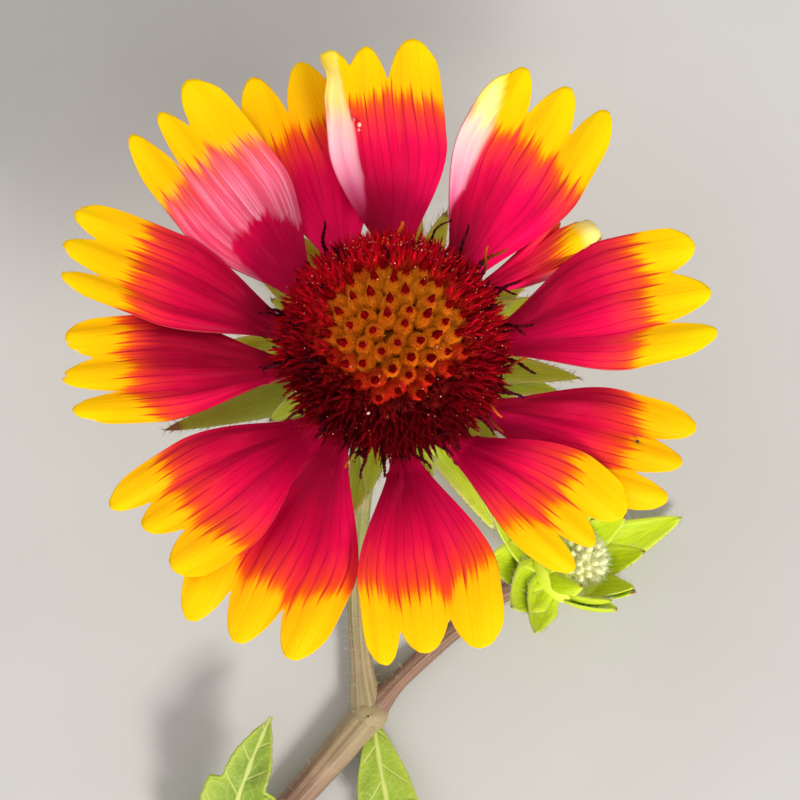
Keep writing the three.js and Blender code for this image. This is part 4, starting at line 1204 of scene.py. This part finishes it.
# The styles that stand clear at the rim, each as (reach, angle, height) of its root and of its tip, how
# far it arches, its radius, and how orange its end is.
LONG_STYLES = [
    ((13.0, 124, 3.6), (15.6, 120, 5.4), 0.2, 0.20, 0.0),
    ((12.4, 70, 3.6), (15.7, 67, 4.8), 1.6, 0.13, 0.0),
    ((11.4, 86, 3.4), (14.0, 87, 4.6), 0.2, 0.30, 1.0),
    ((12.3, 53, 3.6), (15.9, 59, 5.2), 0.4, 0.20, 0.0),
    ((12.4, 43, 3.4), (16.8, 43, 4.4), 0.5, 0.26, 0.5),
    ((12.0, 40, 3.0), (15.6, 46, 4.6), 0.6, 0.2, 0.7),
    ((13.1, 28, 3.2), (16.0, 29, 4.2), 0.4, 0.20, 0.0),
    ((12.3, 31, 3.2), (15.0, 25, 4.4), 0.6, 0.18, 0.0),
    ((12.5, 8, 3.0), (15.7, 11, 3.8), 0.3, 0.20, 0.0),
    ((12.5, 13, 3.0), (14.8, 6, 4.0), 0.5, 0.18, 0.0),
    ((11.9, 354, 3.0), (16.0, 351, 3.2), 0.5, 0.24, 0.0),
    ((12.0, 349, 3.2), (14.8, 355, 3.6), 0.4, 0.2, 0.6),
    ((11.2, 339, 3.0), (15.5, 338, 2.9), 0.5, 0.22, 0.0),
    ((11.4, 334, 3.2), (14.6, 341, 3.0), 0.6, 0.2, 0.0),
    ((10.7, 319, 3.4), (15.2, 324, 2.7), 0.6, 0.22, 0.4),
    ((10.9, 323, 3.4), (14.8, 318, 3.0), 0.7, 0.2, 0.0),
    ((11.2, 326, 3.6), (14.2, 328, 3.2), 0.6, 0.18, 0.8),
    ((10.5, 297, 3.6), (13.6, 304, 3.0), 0.7, 0.22, 0.0),
    ((11.0, 292, 3.4), (14.0, 298, 2.8), 0.5, 0.2, 0.0),
    ((11.4, 281, 3.2), (14.4, 286, 2.6), 0.5, 0.22, 0.0),
    ((12.3, 266, 3.0), (14.7, 267, 2.6), 0.4, 0.22, 0.0),
    ((12.6, 253, 3.0), (15.0, 259, 2.6), 0.5, 0.2, 0.0),
    ((12.4, 250, 3.0), (14.6, 250, 2.6), 0.4, 0.18, 0.6),
    ((10.5, 196, 4.2), (14.6, 189, 3.4), 0.4, 0.24, 0.0),
    ((11.0, 190, 4.4), (14.4, 193, 3.4), 0.5, 0.22, 0.0),
    ((11.9, 167, 3.6), (14.4, 164, 4.2), 0.6, 0.2, 0.0),
    ((12.0, 162, 3.4), (14.8, 169, 4.0), 0.6, 0.18, 0.0),
    ((12.4, 218, 3.2), (14.4, 216, 2.8), 0.4, 0.2, 0.3),
]
STYLE_STEPS, STYLE_SIDES, THORNS = 18, 7, 46


def style(root, tip, arch, radius, orange, draw):
    """A beaded, curling thread from root to tip, with the tiny stiff hairs that stand out from it."""
    up = np.array([0, 0, 1.0])
    aside = unit(np.cross(tip - root, up)) * draw.uniform(-0.5, 0.5)
    t = np.linspace(0, 1, STYLE_STEPS)[:, None]
    hump = 4 * t * (1 - t)
    path = root + (tip - root) * t + up * arch * hump + aside * np.sin(t * 5)
    radii = 1.3 * radius * (1 - 0.6 * t[:, 0]) * (1 + 0.25 * np.cos(t[:, 0] * 42))
    points, faces, marks = tube(path, radii, STYLE_SIDES)
    marks[:, 0] = np.repeat(t[:, 0], STYLE_SIDES)
    marks[:, 2] = orange
    chosen = draw.integers(2, STYLE_STEPS, THORNS)
    way = unit(np.gradient(path, axis=0))[chosen]
    out = unit(np.cross(way, draw.normal(size=(THORNS, 3))))
    thorns = bristles(path[chosen] + out * radii[chosen][:, None] * 0.7, out + way * 0.9,
                      draw.uniform(0.14, 0.3, THORNS), 0.07, draw)
    thorns[2][:, 0] = np.repeat(t[chosen, 0], 4)
    thorns[2][:, 2] = orange
    return together([(points, faces, marks), thorns])


style_parts = []
for root, tip, arch, radius, orange in LONG_STYLES:
    style_parts.append(style(round_axis(*root), round_axis(*tip), arch, radius, orange, draw))
for mouth, way, share in mouths:
    if draw.uniform() > 0.10 + 0.8 * (share - 0.65):
        continue
    lean = unit(np.cross(way, draw.normal(size=3)))
    for branch in (-1, 1):
        tip = mouth + way * draw.uniform(1.0, 1.6) + lean * branch * draw.uniform(0.4, 1.0)
        style_parts.append(style(mouth, tip, 0.25, 0.13, 0.0, draw))
piece("disc_styles", on_bloom(together(style_parts)), style_purple, "disc_florets")

# Grains of pollen caught in the bristles, thickest round the upper rim of the golden middle, and the few
# crumbs that lie on the rays. Of the grains in the bristles, the orange ones are pollen and the pale pink
# ones are painted glints.
pollen_and_glints, new = start_material("pollen_and_glints")
own = new.marks("place")[1]
grit = new.noise(new.spot(), 4000.0, 2.0)
dust = own.smooth(0.45, 0.6).mix((244, 140, 40), (250, 190, 176))
dust = own.smooth(0.85, 0.95).mix(dust, (232, 96, 110))
dust = own.smooth(-0.6, -0.4).mix((66, 44, 8), dust)
dust = (grit.smooth(0.5, 0.8) * 0.3).mix(dust, (180, 90, 60))
new.surface(dust, 0.5, new.bump(grit, 0.03, 0.5))


def grain(centre, size, own):
    """One lumpy grain: a seven-sided pebble."""
    points, faces, marks = lathe([(0, -0.5), (0.36, -0.36), (0.5, 0.0), (0.36, 0.36), (0, 0.5)], 7)
    marks[:, 1] = own
    return points * size * draw.uniform(0.75, 1.25, 3) + centre, faces, marks


GRAINS = 260
grain_parts = []
for _ in range(GRAINS):
    upper = draw.uniform() < 0.55
    share = draw.normal(0.64, 0.07) if upper else draw.uniform(0.25, 1.0)
    angle = draw.normal(math.radians(80), 0.75) if upper else draw.uniform(0, 2 * np.pi)
    seat, way = on_dome(min(1.0, max(0.1, share)), angle)
    centre = seat + way * draw.uniform(2.2, 3.4) + draw.normal(size=3) * 0.15
    grain_parts.append(grain(centre, draw.uniform(0.07, 0.16), draw.uniform()))
# The crumbs, each as (reach, angle, height, size, tint).
CRUMBS = [
    (9.3, 252, 7.3, 0.45, 0.8), (9.0, 250, 7.5, 0.34, 1.0), (26.1, 98.0, 3.0, 0.6, 0.7),
    (26.7, 99.2, 3.2, 0.45, 0.95), (25.5, 98.3, 3.0, 0.35, 0.9), (28.8, 341, 0.25, 0.4, -1.0),
]
for reach, angle, height, size, own in CRUMBS:
    grain_parts.append(grain(round_axis(reach, angle, height), size, own))
piece("disc_pollen_and_glints", on_bloom(together(grain_parts)), pollen_and_glints, "disc_florets")
